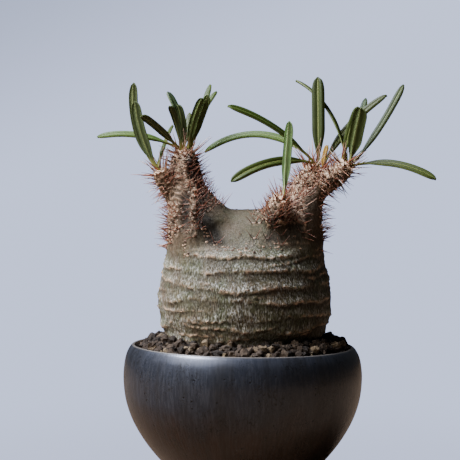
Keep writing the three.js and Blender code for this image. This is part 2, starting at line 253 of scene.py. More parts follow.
wall = [tuple(p) for p in curve_through(OUTSIDE + LIP + INSIDE[:-1], 5)]
blank = plain_object("bowl_blank", turned("bowl_blank", FOOT + wall + [INSIDE[-1]], BOWL_SIDES))
cutter = plain_object("drain_cutter", bpy.data.meshes.new("drain_cutter"))
corners, faces = [], []
for k in range(DRAIN_HOLES):
    centre = around(np.array([90 + 360 / DRAIN_HOLES * k]), DRAIN_RING, 0)[0]
    ring = around(np.arange(DRAIN_SIDES) * 360 / DRAIN_SIDES, DRAIN_RADIUS, 0) + centre
    lower = [len(corners) + i for i in range(DRAIN_SIDES)]
    upper = [i + DRAIN_SIDES for i in lower]
    corners += (ring + (0, 0, DRAIN_FROM)).tolist() + (ring + (0, 0, DRAIN_TO)).tolist()
    faces += [(lower[i - 1], lower[i], upper[i], upper[i - 1]) for i in range(DRAIN_SIDES)]
    faces += [lower[::-1], upper]
cutter.data.from_pydata((np.array(corners) * MM).tolist(), [], faces)
drill = blank.modifiers.new("drain_holes", "BOOLEAN")
drill.object = cutter
drill.solver = "EXACT"
bowl = finished(blank, "bowl")
bpy.data.objects.remove(cutter)
bowl.data.shade_smooth()
bowl.data.set_sharp_from_angle(angle=math.radians(SHARP_EDGE))

# Iron glaze on stoneware, fired to a dark gunmetal: satin, with streaks about 1 mm wide where it ran, fine
# wrinkles and burst bubbles 4 mm apart, and a pale line along the top of the lip. Low down it is painted
# browner, a painted brown reflection. The underside is bare buff clay.
glaze, tree = new_material("iron_glaze")
place = add(tree, "TexCoord").outputs["Object"]
axes = add(tree, "SeparateXYZ", [place])
flat = add(tree, "CombineXYZ", [("X", axes.outputs["X"]), ("Y", axes.outputs["Y"])])
facing = add(tree, "VectorMath", [flat], operation="NORMALIZE")
drop = add(tree, "CombineXYZ", [("Z", axes.outputs["Z"])])
runs = add(tree, "VectorMath", [facing, (0.06, 0.06, 0.06)], operation="MULTIPLY")
slow = add(tree, "VectorMath", [drop, (1, 1, 0.16)], operation="MULTIPLY")
stretched = add(tree, "VectorMath", [runs, slow], operation="ADD")
streaks = add(tree, "TexNoise", [stretched, 900, 4, 0.6])
broad = add(tree, "TexNoise", [stretched, 140, 3])
cloud = add(tree, "TexNoise", [place, 55, 4, 0.6])
grit = add(tree, "TexNoise", [place, 1100, 2])
wobble = add(tree, "Math", [cloud, 0.03, -0.015], operation="MULTIPLY_ADD")
height = add(tree, "Math", [axes.outputs["Z"], wobble], operation="ADD")
# Painted reflection: the glaze is painted browner low down, as a brown reflection.
painted_reflection_fade = add(tree, "MapRange", [height, 30 * MM, 58 * MM], interpolation_type="SMOOTHSTEP")
colour = add(tree, "Mix", [painted_reflection_fade, "#3f291c", "#31343d"], data_type="RGBA")
streak_tone = add(tree, "MapRange", [streaks, 0.42, 0.66])
streak_share = add(tree, "Math", [streak_tone, 0.16], operation="MULTIPLY")
dull = add(tree, "MapRange", [broad, 0.45, 0.7, 0, 0.45])
cells = add(tree, "TexVoronoi", [place, 260])
burst = add(tree, "MapRange", [cells.outputs["Distance"], 0.07, 0.17, 1, 0])
luck = add(tree, "SeparateColor", [cells.outputs["Color"]])
rare = add(tree, "Math", [luck, 0.6], operation="GREATER_THAN")
pits = add(tree, "Math", [burst, rare], operation="MULTIPLY")
upright = add(tree, "Mapping", [place, ("Scale", (1, 1, 0.4))])
folded = add(tree, "TexNoise", [upright, 520, 2, 0.6, ("Distortion", 0.6)])
off_line = add(tree, "Math", [folded, -0.5], operation="ADD")
near_line = add(tree, "Math", [off_line], operation="ABSOLUTE")
line = add(tree, "MapRange", [near_line, 0.008, 0.035, 1, 0])
crowd = add(tree, "TexNoise", [place, 75, 3])
crowded = add(tree, "MapRange", [crowd, 0.4, 0.62])
wrinkle = add(tree, "Math", [line, crowded], operation="MULTIPLY")
wrinkle_share = add(tree, "Math", [wrinkle, 0.8], operation="MULTIPLY")
tilt_back = add(tree, "Math", [axes.outputs["X"], RIM_SLOPE, axes.outputs["Z"]], operation="MULTIPLY_ADD")
reach = add(tree, "VectorMath", [flat], operation="LENGTH")
up_lip = add(tree, "MapRange", [tilt_back, 75.7 * MM, 76.8 * MM])
in_lip = add(tree, "MapRange", [reach, 55.3 * MM, 55.9 * MM, 1, 0])
lip = add(tree, "Math", [up_lip, in_lip], operation="MULTIPLY")
under = add(tree, "MapRange", [height, 0.4 * MM, 1.6 * MM, 1, 0])
in_holes = add(tree, "MapRange", [reach, 21.5 * MM, 22.5 * MM, 1, 0])
low = add(tree, "Math", [axes.outputs["Z"], 12 * MM], operation="LESS_THAN")
hole_clay = add(tree, "Math", [in_holes, low], operation="MULTIPLY")
bare = add(tree, "Math", [under, hole_clay], operation="MAXIMUM", use_clamp=True)
clay_tone = add(tree, "Mix", [grit, "#6b5442", "#94795f"], data_type="RGBA")
for share, coat in (
    (streak_share, "#75767c"), (dull, "#26231f"), (wrinkle_share, "#15140f"), (pits, "#080807"),
    (lip, "#8d857b"), (bare, clay_tone),
):
    colour = add(tree, "Mix", [share, colour, coat], data_type="RGBA")
gloss = add(tree, "MapRange", [streaks, 0.35, 0.7, 0.4, 0.48])
rough = add(tree, "Mix", [bare, gloss, 0.9])
sheen_of_iron = add(tree, "MapRange", [bare, 0, 1, 0.55, 0])
skin_of_glaze = add(tree, "Math", [wrinkle, -0.8, streaks], operation="MULTIPLY_ADD")
rough_skin = add(tree, "Math", [pits, -1.6, skin_of_glaze], operation="MULTIPLY_ADD")
below_lip = add(tree, "MapRange", [axes.outputs["Z"], 73 * MM, 66 * MM], interpolation_type="SMOOTHSTEP")
relief = add(tree, "Math", [rough_skin, below_lip], operation="MULTIPLY")
bump = add(tree, "Bump", [("Strength", 0.45), ("Distance", 0.0003), ("Height", relief)])
soft_bump = add(tree, "Bump", [("Strength", 0.12), ("Distance", 0.0003), ("Height", relief)])
shader = add(tree, "BsdfPrincipled", [
    ("Base Color", colour), ("Metallic", sheen_of_iron), ("Roughness", rough), ("IOR", 1.6),
    ("Coat Weight", 1), ("Coat Roughness", 0.25), ("Normal", bump), ("Coat Normal", soft_bump),
])
add(tree, "OutputMaterial", [shader])
bowl.data.materials.clear()
bowl.data.materials.append(glaze)
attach(bowl, "root")
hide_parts("pot")

# Soil
# Coarse fired-clay and pumice grit, 2.5 to 4.5 mm, filled to the lip and mounded a little at the trunk. A
# dark packed bed fills the bowl below, and loose grains lie on it in two layers.
FIT = 0.3
SOIL_CROWN = 3.5
SOIL_FALL = 5.6
SOIL_SLOPE = 0.008
TRUNK_SHIFT = 1.0
BED_SIDES = 150
BED_FLOOR = 8
BED_BELOW_GRAINS = 2.1
BED_ROUGHNESS = 1.4
BED_TOP = (54.2, 53.4, 51.5, 49.5, 47.5, 45.5, 43.5, 41.5, 39.2)
POCKET = [(38.8, 77), (36, 73.6), (29, 68.1), (16, 63.6)]
POCKET_FLOOR = 62.2
GRAINS_ABOVE = 76.2 * MM
GRAIN_CHIPS = 1.4 * MM


def soil_top(x, r):
    return RIM_HEIGHT + SOIL_SLOPE * x + SOIL_CROWN - SOIL_FALL * np.maximum(0, (r - 41) / 13) ** 2


angles = np.arange(BED_SIDES) * (360 / BED_SIDES)
rings = []
for r, z in curve_through([(r - FIT, z + (FIT if r < 40 else 0)) for r, z in INSIDE[:0:-1] if r > 0], 3):
    ring = around(angles, r, z)
    ring[:, 2] += rim_lift(ring[:, 0], z)
    rings.append(ring)
for r in BED_TOP:
    ring = around(angles, r, 0)
    for p in ring:
        rough_ground = BED_ROUGHNESS * noise.noise(Vector(p) * 0.22)
        p[2] = soil_top(p[0], r) - BED_BELOW_GRAINS + rough_ground * (r < BED_TOP[0])
    rings.append(ring)
for r, z in POCKET:
    rings.append(around(angles, r, z) + (TRUNK_SHIFT, 0, 0))
bed = plain_object("soil_bed", skin("soil_bed", rings, (0, 0, BED_FLOOR), (TRUNK_SHIFT, 0, POCKET_FLOOR)))
bed.data.shade_smooth()


def inputs_of(tree, **sockets):
    """Names the tree's inputs and gives the node that brings them in."""
    tree.interface.new_socket("Geometry", in_out="INPUT", socket_type="NodeSocketGeometry")
    for name, kind in sockets.items():
        tree.interface.new_socket(name, in_out="INPUT", socket_type="NodeSocket" + kind)
    tree.interface.new_socket("Geometry", in_out="OUTPUT", socket_type="NodeSocketGeometry")
    return add(tree, "NodeGroupInput").outputs


def grown(source, name, tree, **values):
    """Runs a node tree on a copy of an object's mesh and gives what it makes as a plain mesh object."""
    carrier = plain_object(name + "_carrier", source.data.copy())
    modifier = carrier.modifiers.new(name, "NODES")
    modifier.node_group = tree
    for socket in tree.interface.items_tree:
        if socket.in_out == "INPUT" and socket.name in values:
            modifier[socket.identifier] = values[socket.name]
    return finished(carrier, name)


def end_tree(tree, made, smooth_faces, material):
    """Ends a node tree: sets the shading and the material of what it made, and hands it out."""
    shaded = add(tree, "GeometryNodeSetShadeSmooth", [made, ("Shade Smooth", smooth_faces)])
    dressed = add(tree, "GeometryNodeSetMaterial", [shaded, ("Material", material)])
    add(tree, "NodeGroupOutput", [dressed])


grain_tree = bpy.data.node_groups.new("scatter_grains", "GeometryNodeTree")
given = inputs_of(
    grain_tree, Spacing="Float", Smallest="Float", Largest="Float", Lift="Float", Seed="Int",
    Material="Material",
)
where = add(grain_tree, "GeometryNodeInputPosition")
spot = add(grain_tree, "SeparateXYZ", [where])
upright = add(grain_tree, "SeparateXYZ", [add(grain_tree, "GeometryNodeInputNormal")])
is_up = add(grain_tree, "FunctionNodeCompare", [upright.outputs["Z"], 0.3], operation="GREATER_THAN")
is_high = add(grain_tree, "FunctionNodeCompare", [spot.outputs["Z"], GRAINS_ABOVE], operation="GREATER_THAN")
on_top = add(grain_tree, "FunctionNodeBooleanMath", [is_up, is_high], operation="AND")
points = add(grain_tree, "GeometryNodeDistributePointsOnFaces", [
    given["Geometry"], ("Selection", on_top), ("Distance Min", given["Spacing"]), ("Density Max", 4e6),
    ("Seed", given["Seed"]),
], distribute_method="POISSON")
lift = add(grain_tree, "FunctionNodeRandomValue", [-0.5 * MM, 0.6 * MM, ("Seed", 5)])
raise_by = add(grain_tree, "Math", [lift, given["Lift"]], operation="ADD")
offset = add(grain_tree, "CombineXYZ", [("Z", raise_by)])
placed = add(grain_tree, "GeometryNodeSetPosition", [points, ("Offset", offset)])
tone = add(grain_tree, "FunctionNodeRandomValue", [0, 1, ("Seed", 11)])
toned = add(grain_tree, "GeometryNodeStoreNamedAttribute", [
    placed, ("Name", "grain_tone"), ("Value", tone),
])
crumb = add(grain_tree, "GeometryNodeMeshIcoSphere", [("Radius", 0.5), ("Subdivisions", 2)])
turn = add(grain_tree, "FunctionNodeRandomValue", [
    (0, 0, 0), (6.28, 6.28, 6.28), ("Seed", 3),
], data_type="FLOAT_VECTOR")
width = add(grain_tree, "FunctionNodeRandomValue", [given["Smallest"], given["Largest"], ("Seed", 7)])
uneven = add(grain_tree, "FunctionNodeRandomValue", [
    (0.75, 0.75, 0.7), (1.2, 1.1, 1.0), ("Seed", 9),
], data_type="FLOAT_VECTOR")
scale = add(grain_tree, "VectorMath", [uneven, width], operation="SCALE")
grains = add(grain_tree, "GeometryNodeInstanceOnPoints", [
    toned, ("Instance", crumb), ("Rotation", turn), ("Scale", scale),
])
solid = add(grain_tree, "GeometryNodeRealizeInstances", [grains])
chips = add(grain_tree, "TexVoronoi", [where, 520])
shift = add(grain_tree, "VectorMath", [chips.outputs["Color"], (0.5, 0.5, 0.5)], operation="SUBTRACT")
chip = add(grain_tree, "VectorMath", [shift, GRAIN_CHIPS], operation="SCALE")
broken = add(grain_tree, "GeometryNodeSetPosition", [solid, ("Offset", chip)])
end_tree(grain_tree, broken, False, given["Material"])


def paint_ramp(ramp, codes):
    """Gives a colour ramp its colours, by their places from 0 to 1."""
    stops = ramp.color_ramp.elements
    for at, code in codes.items():
        stop = stops[0] if at == 0 else stops[len(stops) - 1] if at == 1 else stops.new(at)
        stop.color = linear(code)


# Fired clay grit: dull, from dark brown to beige, each grain a little different, with pores that are drawn
# 0.7 mm wide, coarser than real ones, so that they show.
grit_material, tree = new_material("fired_clay_grit")
place = add(tree, "TexCoord").outputs["Object"]
own_tone = add(tree, "Attribute", attribute_name="grain_tone").outputs["Fac"]
ramp = add(tree, "ValToRGB", [own_tone])
paint_ramp(ramp, {0: "#261f17", 0.45: "#392d21", 0.8: "#4c3e2f", 1: "#7d6b51"})
pores = add(tree, "TexNoise", [place, 1500, 3, 0.7])
dark = add(tree, "MapRange", [pores, 0.35, 0.65, 0.6, 1.15])
porous = add(tree, "VectorMath", [ramp, dark], operation="SCALE")
bump = add(tree, "Bump", [("Strength", 0.7), ("Distance", 0.0004), ("Height", pores)])
shader = add(tree, "BsdfPrincipled", [
    ("Base Color", porous), ("Roughness", 0.95), ("IOR", 1.5), ("Normal", bump),
])
add(tree, "OutputMaterial", [shader])

# The bed shows only as dark gaps between the grains, and through the drain holes.
bed_material, tree = new_material("packed_fines")
place = add(tree, "TexCoord").outputs["Object"]
fines = add(tree, "TexNoise", [place, 900, 4])
tone = add(tree, "Mix", [fines, "#1f1812", "#4b3c2e"], data_type="RGBA")
bump = add(tree, "Bump", [("Strength", 0.8), ("Distance", 0.0008), ("Height", fines)])
shader = add(tree, "BsdfPrincipled", [("Base Color", tone), ("Roughness", 1), ("Normal", bump)])
add(tree, "OutputMaterial", [shader])
bed.data.materials.append(bed_material)

small_grains = grown(
    bed, "soil_grains", grain_tree, Spacing=2.6 * MM, Smallest=2.6 * MM, Largest=4.4 * MM, Lift=0.8 * MM,
    Seed=4, Material=grit_material,
)
large_grains = grown(
    bed, "soil_loose_grains", grain_tree, Spacing=5.6 * MM, Smallest=3.4 * MM, Largest=5.4 * MM,
    Lift=2.1 * MM, Seed=21, Material=grit_material,
)
for piece in (bed, small_grains, large_grains):
    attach(piece, "root")
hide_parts("soil")

# Trunk and arms
# One swollen water-storing stem with five growing tips, drawn as one skin. Ring folds, where the bark has
# sagged as it widened, run round the trunk in broken wavy lines; the arms flow into it without a seam.

# The trunk's half-section is rows of radius and height; a limb's stations are rows of x, y, z and radius.
STEM_FOOT = 62.5
STEM_TOP = 146
BASE = [(16, 64), (28.4, 68.5), (34.8, 74), (37.8, 79.5)]
BELLY = [
    (38.8, 82), (41.2, 88), (42.8, 94), (43.4, 100), (43, 106), (42.1, 112), (40.7, 118), (39.1, 124),
    (36.6, 130),
]
SHOULDER = [(32.6, 136), (28.8, 139.6), (24.4, 142.4), (18.6, 144.4), (12.4, 145.6), (6, 146)]
LIMBS = {
    "left_arm": [
        (-18.6, -12.5, 125, 15.5), (-21.4, -13, 133.5, 15.3), (-23.4, -11, 141, 13.9),
        (-25.3, -7.6, 147.5, 11.8), (-26.9, -4.6, 153, 9.8), (-28, -2.5, 158.5, 8.5),
        (-28.8, -1, 165.5, 7.6), (-29.2, 0, 170.8, 6.6), (-29.3, 0, 174.4, 5),
    ],
    "left_branchlet": [
        (-29, -3, 148.5, 5.8), (-34.4, -6, 154.2, 4.9), (-38.7, -8, 159.8, 4.3), (-41.2, -9, 165, 3.9),
    ],
    "right_arm": [
        (20, -9, 125, 15.5), (24, -9.6, 134.5, 15.4), (27.2, -7.4, 142.5, 12.8), (30, -3.4, 149.5, 9.8),
        (31.8, -1, 155, 7.9), (33.6, 0, 160, 6.6), (35.6, 1, 163.5, 5.6), (36.8, 1, 165.6, 4.8),
    ],
    "right_fork": [
        (32.4, 0, 152, 6.6), (38, -1, 157, 6), (44.2, -2, 161.4, 5.5), (49.4, -3, 165, 4.9),
        (51.6, -3, 168, 4.2),
    ],
    "front_branchlet": [
        (18, -15, 131, 9.6), (17.2, -21, 138.5, 6.4), (17.6, -24.4, 145.5, 5.3), (18.8, -26.4, 151.6, 4.3),
    ],
}
# The share of a limb's length at which its spines begin.
SPINES_FROM = {
    "left_arm": 0.1, "left_branchlet": 0.3, "right_arm": 0.1, "right_fork": 0.25, "front_branchlet": 0.4,
}
CAP_RISE = 0.42
BLEND = 1.6
SADDLE_BLEND = 2.6
# Seven long folds by their heights, then seven short ones between them.
LONG_FOLDS = 7
FOLDS = [84, 89, 95.5, 104, 110.5, 119, 126.5, 86.5, 92.2, 99.6, 107.2, 114.8, 122.8, 130]
FOLD_SPACING = 6.5
FOLD_DIP = 2.8
FOLD_WAVES = ((2, 0.4), (3, 0.3), (5, 0.25), (9, 0.2), (14, 0.12))
STEM_SIDES = 72
LIMB_SIDES = 24
VOXEL = 0.67
ROUNDS = 5
LONGEST_STEP = 1.5


def smooth(x, low, high):
    t = np.clip((np.asarray(x, float) - low) / (high - low), 0, 1)
    return t * t * (3 - 2 * t)


def lean(z):
    return TRUNK_SHIFT + 0.5 * smooth(z, 120, 140)


def out_of_round(z, azimuth):
    return 1 + 0.15 * smooth(z, 120, 143) * np.cos(np.radians(2 * azimuth))


profile = curve_through([(0, STEM_FOOT)] + BASE + BELLY + SHOULDER + [(0, STEM_TOP)], 3)


def trunk_depth(p):
    """Distance from the trunk's surface in mm, negative inside, and the azimuth."""
    x = p[:, 0] - lean(p[:, 2])
    azimuth = np.degrees(np.arctan2(p[:, 1], x))
    q = np.stack([np.hypot(x, p[:, 1]) / out_of_round(p[:, 2], azimuth), p[:, 2]], -1)
    a, b = profile[:-1], profile[1:]
    along = b - a
    t = ((q[:, None] - a) * along).sum(-1) / (along**2).sum(-1)
    near = a + np.clip(t, 0, 1)[..., None] * along
    far = np.sqrt(((q[:, None] - near) ** 2).sum(-1)).min(1)
    inside = q[:, 0] < np.interp(q[:, 1], profile[:, 1], profile[:, 0], left=0, right=0)
    return np.where(inside, -far, far), azimuth


middles = {name: curve_through(stations, 12) for name, stations in LIMBS.items()}


def tip_of(name):
    """Centre, axis and radius of a growing tip."""
    last, before = np.array(LIMBS[name][-1], float), np.array(LIMBS[name][-2], float)
    axis = (last - before)[:3]
    return last[:3], axis / np.linalg.norm(axis), last[3]


def limb_depth(name, p):
    """Distance from a limb's surface, share of its length and its direction there."""
    line = middles[name]
    squared = (p**2).sum(1)[:, None] + (line[:, :3] ** 2).sum(1) - 2 * p @ line[:, :3].T
    gap = np.sqrt(np.maximum(0, squared))
    nearest = gap.argmin(1)
    centre, axis, radius = tip_of(name)
    above = (p - centre) @ axis - CAP_RISE * radius
    depth = 1.2 * np.logaddexp((gap.min(1) - line[nearest, 3]) / 1.2, above / 1.2)
    way = np.gradient(line[:, :3], axis=0)
    return depth, nearest / (len(line) - 1), (way / np.linalg.norm(way, axis=1)[:, None])[nearest]


def plant_depth(p):
    """Distance from the whole plant's surface, limbs melted into the trunk, and what it was made from."""
    trunk, azimuth = trunk_depth(p)
    limbs = [limb_depth(name, p) for name in LIMBS]
    depths = np.stack([trunk] + [limb[0] for limb in limbs])
    saddles = SADDLE_BLEND * smooth(p[:, 2], 136, 143) * np.exp(-(((np.abs(p[:, 0] - 1) - 13) / 7) ** 2))
    soft = BLEND + saddles
    return -soft * np.log(np.exp(-depths / soft).sum(0)), depths, azimuth, limbs


def tube(name, stations):
    """A plain closed tube with a domed end along a limb."""
    ball = curve_through(stations, 3)
    angles = np.arange(LIMB_SIDES) * math.pi / (LIMB_SIDES / 2)
    rings = []
    for i, (x, y, z, r) in enumerate(ball):
        way = ball[min(i + 1, len(ball) - 1), :3] - ball[max(i - 1, 0), :3]
        turn = Vector(way).to_track_quat("Z", "Y")
        circle = [Vector((r * math.cos(a), r * math.sin(a), 0)) for a in angles]
        rings.append([Vector((x, y, z)) + turn @ p for p in circle])
    centre, axis, radius = ball[-1, :3], Vector(way).normalized(), ball[-1, 3]
    rings.append([p * 0.6 + Vector(centre) * 0.4 + axis * radius * 0.35 for p in rings[-1]])
    return plain_object(name, skin(name, rings, ball[0, :3], Vector(centre) + axis * radius * 0.45))


angles = np.arange(STEM_SIDES) * 360 / STEM_SIDES
rings = [around(angles, r, z) + (lean(z), 0, 0) for r, z in profile[1:-1]]
ends = (TRUNK_SHIFT, 0, STEM_FOOT), (lean(STEM_TOP), 0, STEM_TOP)
blank = plain_object("stem_blank", skin("stem_blank", rings, *ends))
for name, stations in LIMBS.items():
    join = blank.modifiers.new(name, "BOOLEAN")
    join.operation = "UNION"
    join.solver = "EXACT"
    join.object = tube(name, stations)
remesh = blank.modifiers.new("even_skin", "REMESH")
remesh.mode = "VOXEL"
remesh.voxel_size = VOXEL * MM
caudex = finished(blank, "trunk_and_arms")
for name in LIMBS:
    bpy.data.objects.remove(bpy.data.objects[name])


def read(values, field):
    """A mesh's points or normals as rows of three."""
    out = np.empty(len(values) * 3)
    values.foreach_get(field, out)
    return out.reshape(-1, 3)


def speckle(points, scale):
    """Soft random values at points, between about -1 and 1."""
    return np.array([noise.noise(Vector(p) * scale) for p in points])


def uneven(azimuth, k, seed):
    """A slow uneven wave round the trunk, between about -1 and 1."""
    a = np.radians(azimuth)
    return sum(w * np.sin(n * a + seed * n + 2.3 * k * (n + 1)) for n, w in FOLD_WAVES)


skin_points = read(caudex.data.vertices, "co") / MM
for _ in range(ROUNDS):
    normals = read(caudex.data.vertex_normals, "vector")
    depth = plant_depth(skin_points)[0]
    skin_points = skin_points - np.clip(depth, -LONGEST_STEP, LONGEST_STEP)[:, None] * normals
    caudex.data.vertices.foreach_set("co", (skin_points * MM).ravel())
    caudex.data.update()

# Ring folds: each is a raised crest with a crease under it; azimuth and knobs bend and break its line.
normals = read(caudex.data.vertex_normals, "vector")
depths, azimuth, limbs = plant_depth(skin_points)[1:]
weights = np.exp(-depths / BLEND)
weights /= weights.sum(0)
on_trunk = weights[0]
height = skin_points[:, 2]
crest, crease, under_fold, roll = np.zeros((4, len(skin_points)))
knobs = speckle(skin_points, 0.42)
for k, z in enumerate(FOLDS):
    short = k >= LONG_FOLDS
    order = (z - FOLDS[0]) / FOLD_SPACING
    dip = min(FOLD_DIP, 0.9 + 1.1 * order) * np.cos(np.radians(azimuth - 95 + 5 * order))
    wave = dip + 0.6 * np.sin(np.radians(3 * azimuth + 130 * k))
    s = height - z - wave - 1.9 * uneven(azimuth, k, 1.7) - 0.9 * knobs
    strength = smooth(uneven(azimuth, k, 0.6) + 0.6 * knobs - 0.35 * short, -0.45, 0.4)
    strength = strength * (0.6 if z > 128 else 1)
    crest += strength * np.exp(-(((s - 0.5) / 0.6) ** 2))
    crease += 0.7 * strength * np.exp(-(((s + 0.6) / 0.55) ** 2))
    below = (0.6 if short else 1) * (0.4 + 0.6 * strength) * smooth(s, -4.5, -0.8)
    under_fold += below * (1 - smooth(s, -0.6, 0.3))
    above = (0.25 if short else 1) * (0.3 + 0.7 * strength) * smooth(s, -1.4, 1.0)
    roll += above * (1 - smooth(s, 1.0, 5.8))
on_folds = on_trunk * smooth(height, 80, 84) * (1 - smooth(height, 130, 139))
lumps = speckle(skin_points, 0.16) + 0.4 * speckle(skin_points, 0.45)
crust = 0.28 * np.clip(crest, 0, 1.2) * (0.7 + 1.5 * knobs)
swell = on_folds * (crust - 0.25 * crease + 0.8 * (roll - 0.4)) + 0.3 * lumps
skin_points = skin_points + swell[:, None] * normals
caudex.data.vertices.foreach_set("co", (skin_points * MM).ravel())

# Where the spines stand and where the bark is smooth, pale or grooved, as seen in the photograph, and where
# it gets painted shade or painted light.
limb_names = list(LIMBS)
left_share = weights[1 + limb_names.index("left_arm")]
front_share = weights[1 + limb_names.index("front_branchlet")]
which = weights[1:].argmax(0)
share = np.choose(which, [limb[1] for limb in limbs])
growth = np.stack([np.choose(which, [limb[2][:, i] for limb in limbs]) for i in range(3)], -1)
growth[which == limb_names.index("front_branchlet")] = (0.1, -0.3, 0.95)
growth = growth * (1 - on_trunk)[:, None] + np.array([0, 0, 1]) * on_trunk[:, None]
spiny, crown = np.zeros((2, len(skin_points)))
x, y, z = skin_points.T
ragged = speckle(skin_points, 0.35)


def between(value, low, high, soft=1.5):
    return smooth(value, low - soft, low + soft) * (1 - smooth(value, high - soft, high + soft))


front = 1 - smooth(y, -5, 1)
left_strip = front * between(x + ragged, -30.5, -26.2) * (1 - smooth(z, 154, 159))
left_ledges = 0.75 * front * between(x, -36.5, -30, 1) * smooth(z, 146, 151) * (1 - smooth(z, 163, 168))
left_slope = 0.65 * smooth(x, -20, -15) * smooth(normals[:, 2], 0.3, 0.6)
left_ridge = (1 - smooth(z, 145, 151)) * smooth(x, -23, -18) * 0.95
right_strip = front * between(x + ragged, 31, 38.5) * (1 - smooth(z, 156, 160))
right_root = 0.95 * front * (1 - smooth(z + ragged, 137, 142)) * (1 - smooth(x, 28, 31))
thinned = {
    "left_arm": np.max([left_strip, left_ledges, left_ridge, left_slope], axis=0),
    "right_arm": np.maximum(right_strip, right_root),
}
for i, name in enumerate(limb_names):
    centre, axis, radius = tip_of(name)
    start = SPINES_FROM[name]
    mask = smooth(weights[i + 1], 0.25, 0.6) * smooth(limbs[i][1], start, start + 0.08)
    spiny = np.maximum(spiny, mask * (1 - thinned.get(name, 0)))
    from_tip = (skin_points - centre) @ axis
    crown = np.maximum(crown, smooth(from_tip, -4, 1.5) * smooth(weights[i + 1], 0.3, 0.7))
left_flank = (1 - smooth(x, -35, -32.5)) * between(y, -20, 14, 4) * between(z, 127, 146, 3)
right_flank = smooth(x, 37, 38.5) * between(y, -12, 14, 4) * between(z, 131, 150, 3)
spiny = np.maximum(spiny, 0.8 * np.maximum(left_flank, right_flank))
spiny *= smooth(ragged, -0.75, -0.2)
stray_places = np.maximum(0.4 * between(x, -16, -8, 2), between(x, 4, 26, 2))
strays = front * on_trunk * between(z, 129, 145, 1) * stray_places
spiny = np.maximum(spiny, 0.14 * strays)
step = (z + 1.1 * ragged + 0.2 * (x + 33)) / 2.7 % 1
ledges = 1 - 2 * step + 2 * smooth(step, 0.8, 1.0)
bumps = speckle(skin_points, 0.55)
on_left = left_share * front * between(z, 138, 166, 5)
cushion_row = on_left * between(x, -37, -30.4, 1.0) * (0.3 + 0.7 * smooth(z, 146, 151))
inner_row = 0.8 * on_left * between(x, -25.5, -22.6, 0.7) * between(z, 140.5, 157, 1.5)
cushion_row = np.maximum(cushion_row, inner_row)
groove = on_left * between(x, -30.3, -26.2, 1.1) * (1 - smooth(z, 153, 159))
left_valley = np.exp(-(((x + 0.5 * (z - 135) + 15.5) / 8.5) ** 2))
valley = front * smooth(z, 124, 133) * (1 - smooth(z, 142, 149))
valley = valley * np.maximum(left_valley, 0.75 * between(x, 10, 31, 4))
rise = (spiny > 0.2) * spiny * 0.9 * bumps + cushion_row * (0.7 + (0.75 + 0.8 * bumps) * ledges)
rise = rise - 1.6 * groove - 0.8 * valley * on_trunk
skin_points = skin_points + rise[:, None] * normals
caudex.data.vertices.foreach_set("co", (skin_points * MM).ravel())
tilt = 0.12 + np.maximum(0.3 * crown, 1.1 * front_share)
# Painted shade: bark, cushions and spines are painted darker on the left arm's right flank and on the lower
# right parts of the limbs.
shade_edge = np.interp(z, (141, 157, 163, 170), (-23.8, -24, -28.5, -29))
painted_shade = left_share * smooth(x - shade_edge, 0, 2)
painted_shade *= (1 - 0.6 * crown) * (1 - 0.5 * left_slope / 0.65)
painted_shade = np.maximum(painted_shade, weights[1:].max(0) * (1 - smooth(z, 130, 139)) * smooth(x, -25, -20))
# Painted light: surfaces facing up and left on the right arm and fork, and the left side of the left arm near
# its tip, are painted paler; pale also holds the real pale crowns and a pinkish cushion column on the right
# arm.
lit_right_tops = smooth(z, 150, 158) * smooth(normals[:, 2] - 0.4 * normals[:, 0], -0.1, 0.4) * smooth(x, 20, 26)
pale = np.maximum(lit_right_tops, 0.9 * front * between(x, 23.5, 30, 1.2) * between(z, 141, 160, 2))
left_lit = left_share * smooth(z, 153, 162) * (1 - smooth(x, -30, -26.5))
pale = np.maximum(pale, np.maximum(0.8 * crown, 0.7 * left_lit)) * (1 - painted_shade)


def store(mesh, name, values, kind="FLOAT"):
    made = mesh.attributes.new(name, kind, "POINT")
    made.data.foreach_set("value" if kind == "FLOAT" else "vector", np.asarray(values, np.float32).ravel())


# Cork cushions: more on lit tops as painted light, fewer in painted shade. Their hollows are painted dark as
# painted shade, darker on their undersides and in painted shade.
knobbly = np.clip(1.6 * ledges * (cushion_row > 0.3) + 3 * bumps * (cushion_row <= 0.3) + 0.5 * pale, -1, 1)
cushions = np.clip(knobbly, 0, 1) * np.maximum(0.9 * spiny, cushion_row) * (1 - 0.8 * painted_shade)
shaded = 0.1 + 0.7 * np.clip(-knobbly, 0, 1) + 0.3 * painted_shade
hollows = np.maximum(0.5 * groove, np.maximum(spiny, cushion_row) * shaded)
store(caudex.data, "crest", np.maximum(on_folds * np.clip(crest, 0, 1), cushions))
store(caudex.data, "crease", np.maximum(on_folds * np.clip(crease, 0, 1), hollows))
rows = between(x - 1.5 * ragged, -29.2, -26.2, 0.8) * between(z, 123, 140, 1.5)
slanting = between(x - 1.5 * ragged - (140 - z) * 0.9, -23.8, -20.6, 0.9) * between(z, 127, 142, 1.5)
level = between(z - 2 * ragged - 0.12 * np.abs(x - 4), 126.4, 128.4, 0.8) * between(x, -12, 26, 2)
rows = np.maximum(np.maximum(rows, slanting), level)
rows = np.maximum(rows, 0.05 * between(z, 126, 138, 3) * between(x, -34, 30, 3))
on_crests = 0.6 * on_folds * smooth(crest, 0.5, 0.95) * smooth(knobs, 0.0, 0.3)
scarred = np.maximum(on_crests, front * rows * (1 - spiny))
scarred = np.maximum(scarred, 0.4 * pale * (1 - crown) * (x > 20))
rear_rows = 0.04 + 0.22 * smooth(np.sin((z + 2 * ragged) / 0.9), 0.5, 0.9)
scarred = np.maximum(scarred, (1 - front) * on_trunk * between(z, 126, 150, 4) * rear_rows)
store(caudex.data, "scarred", scarred)
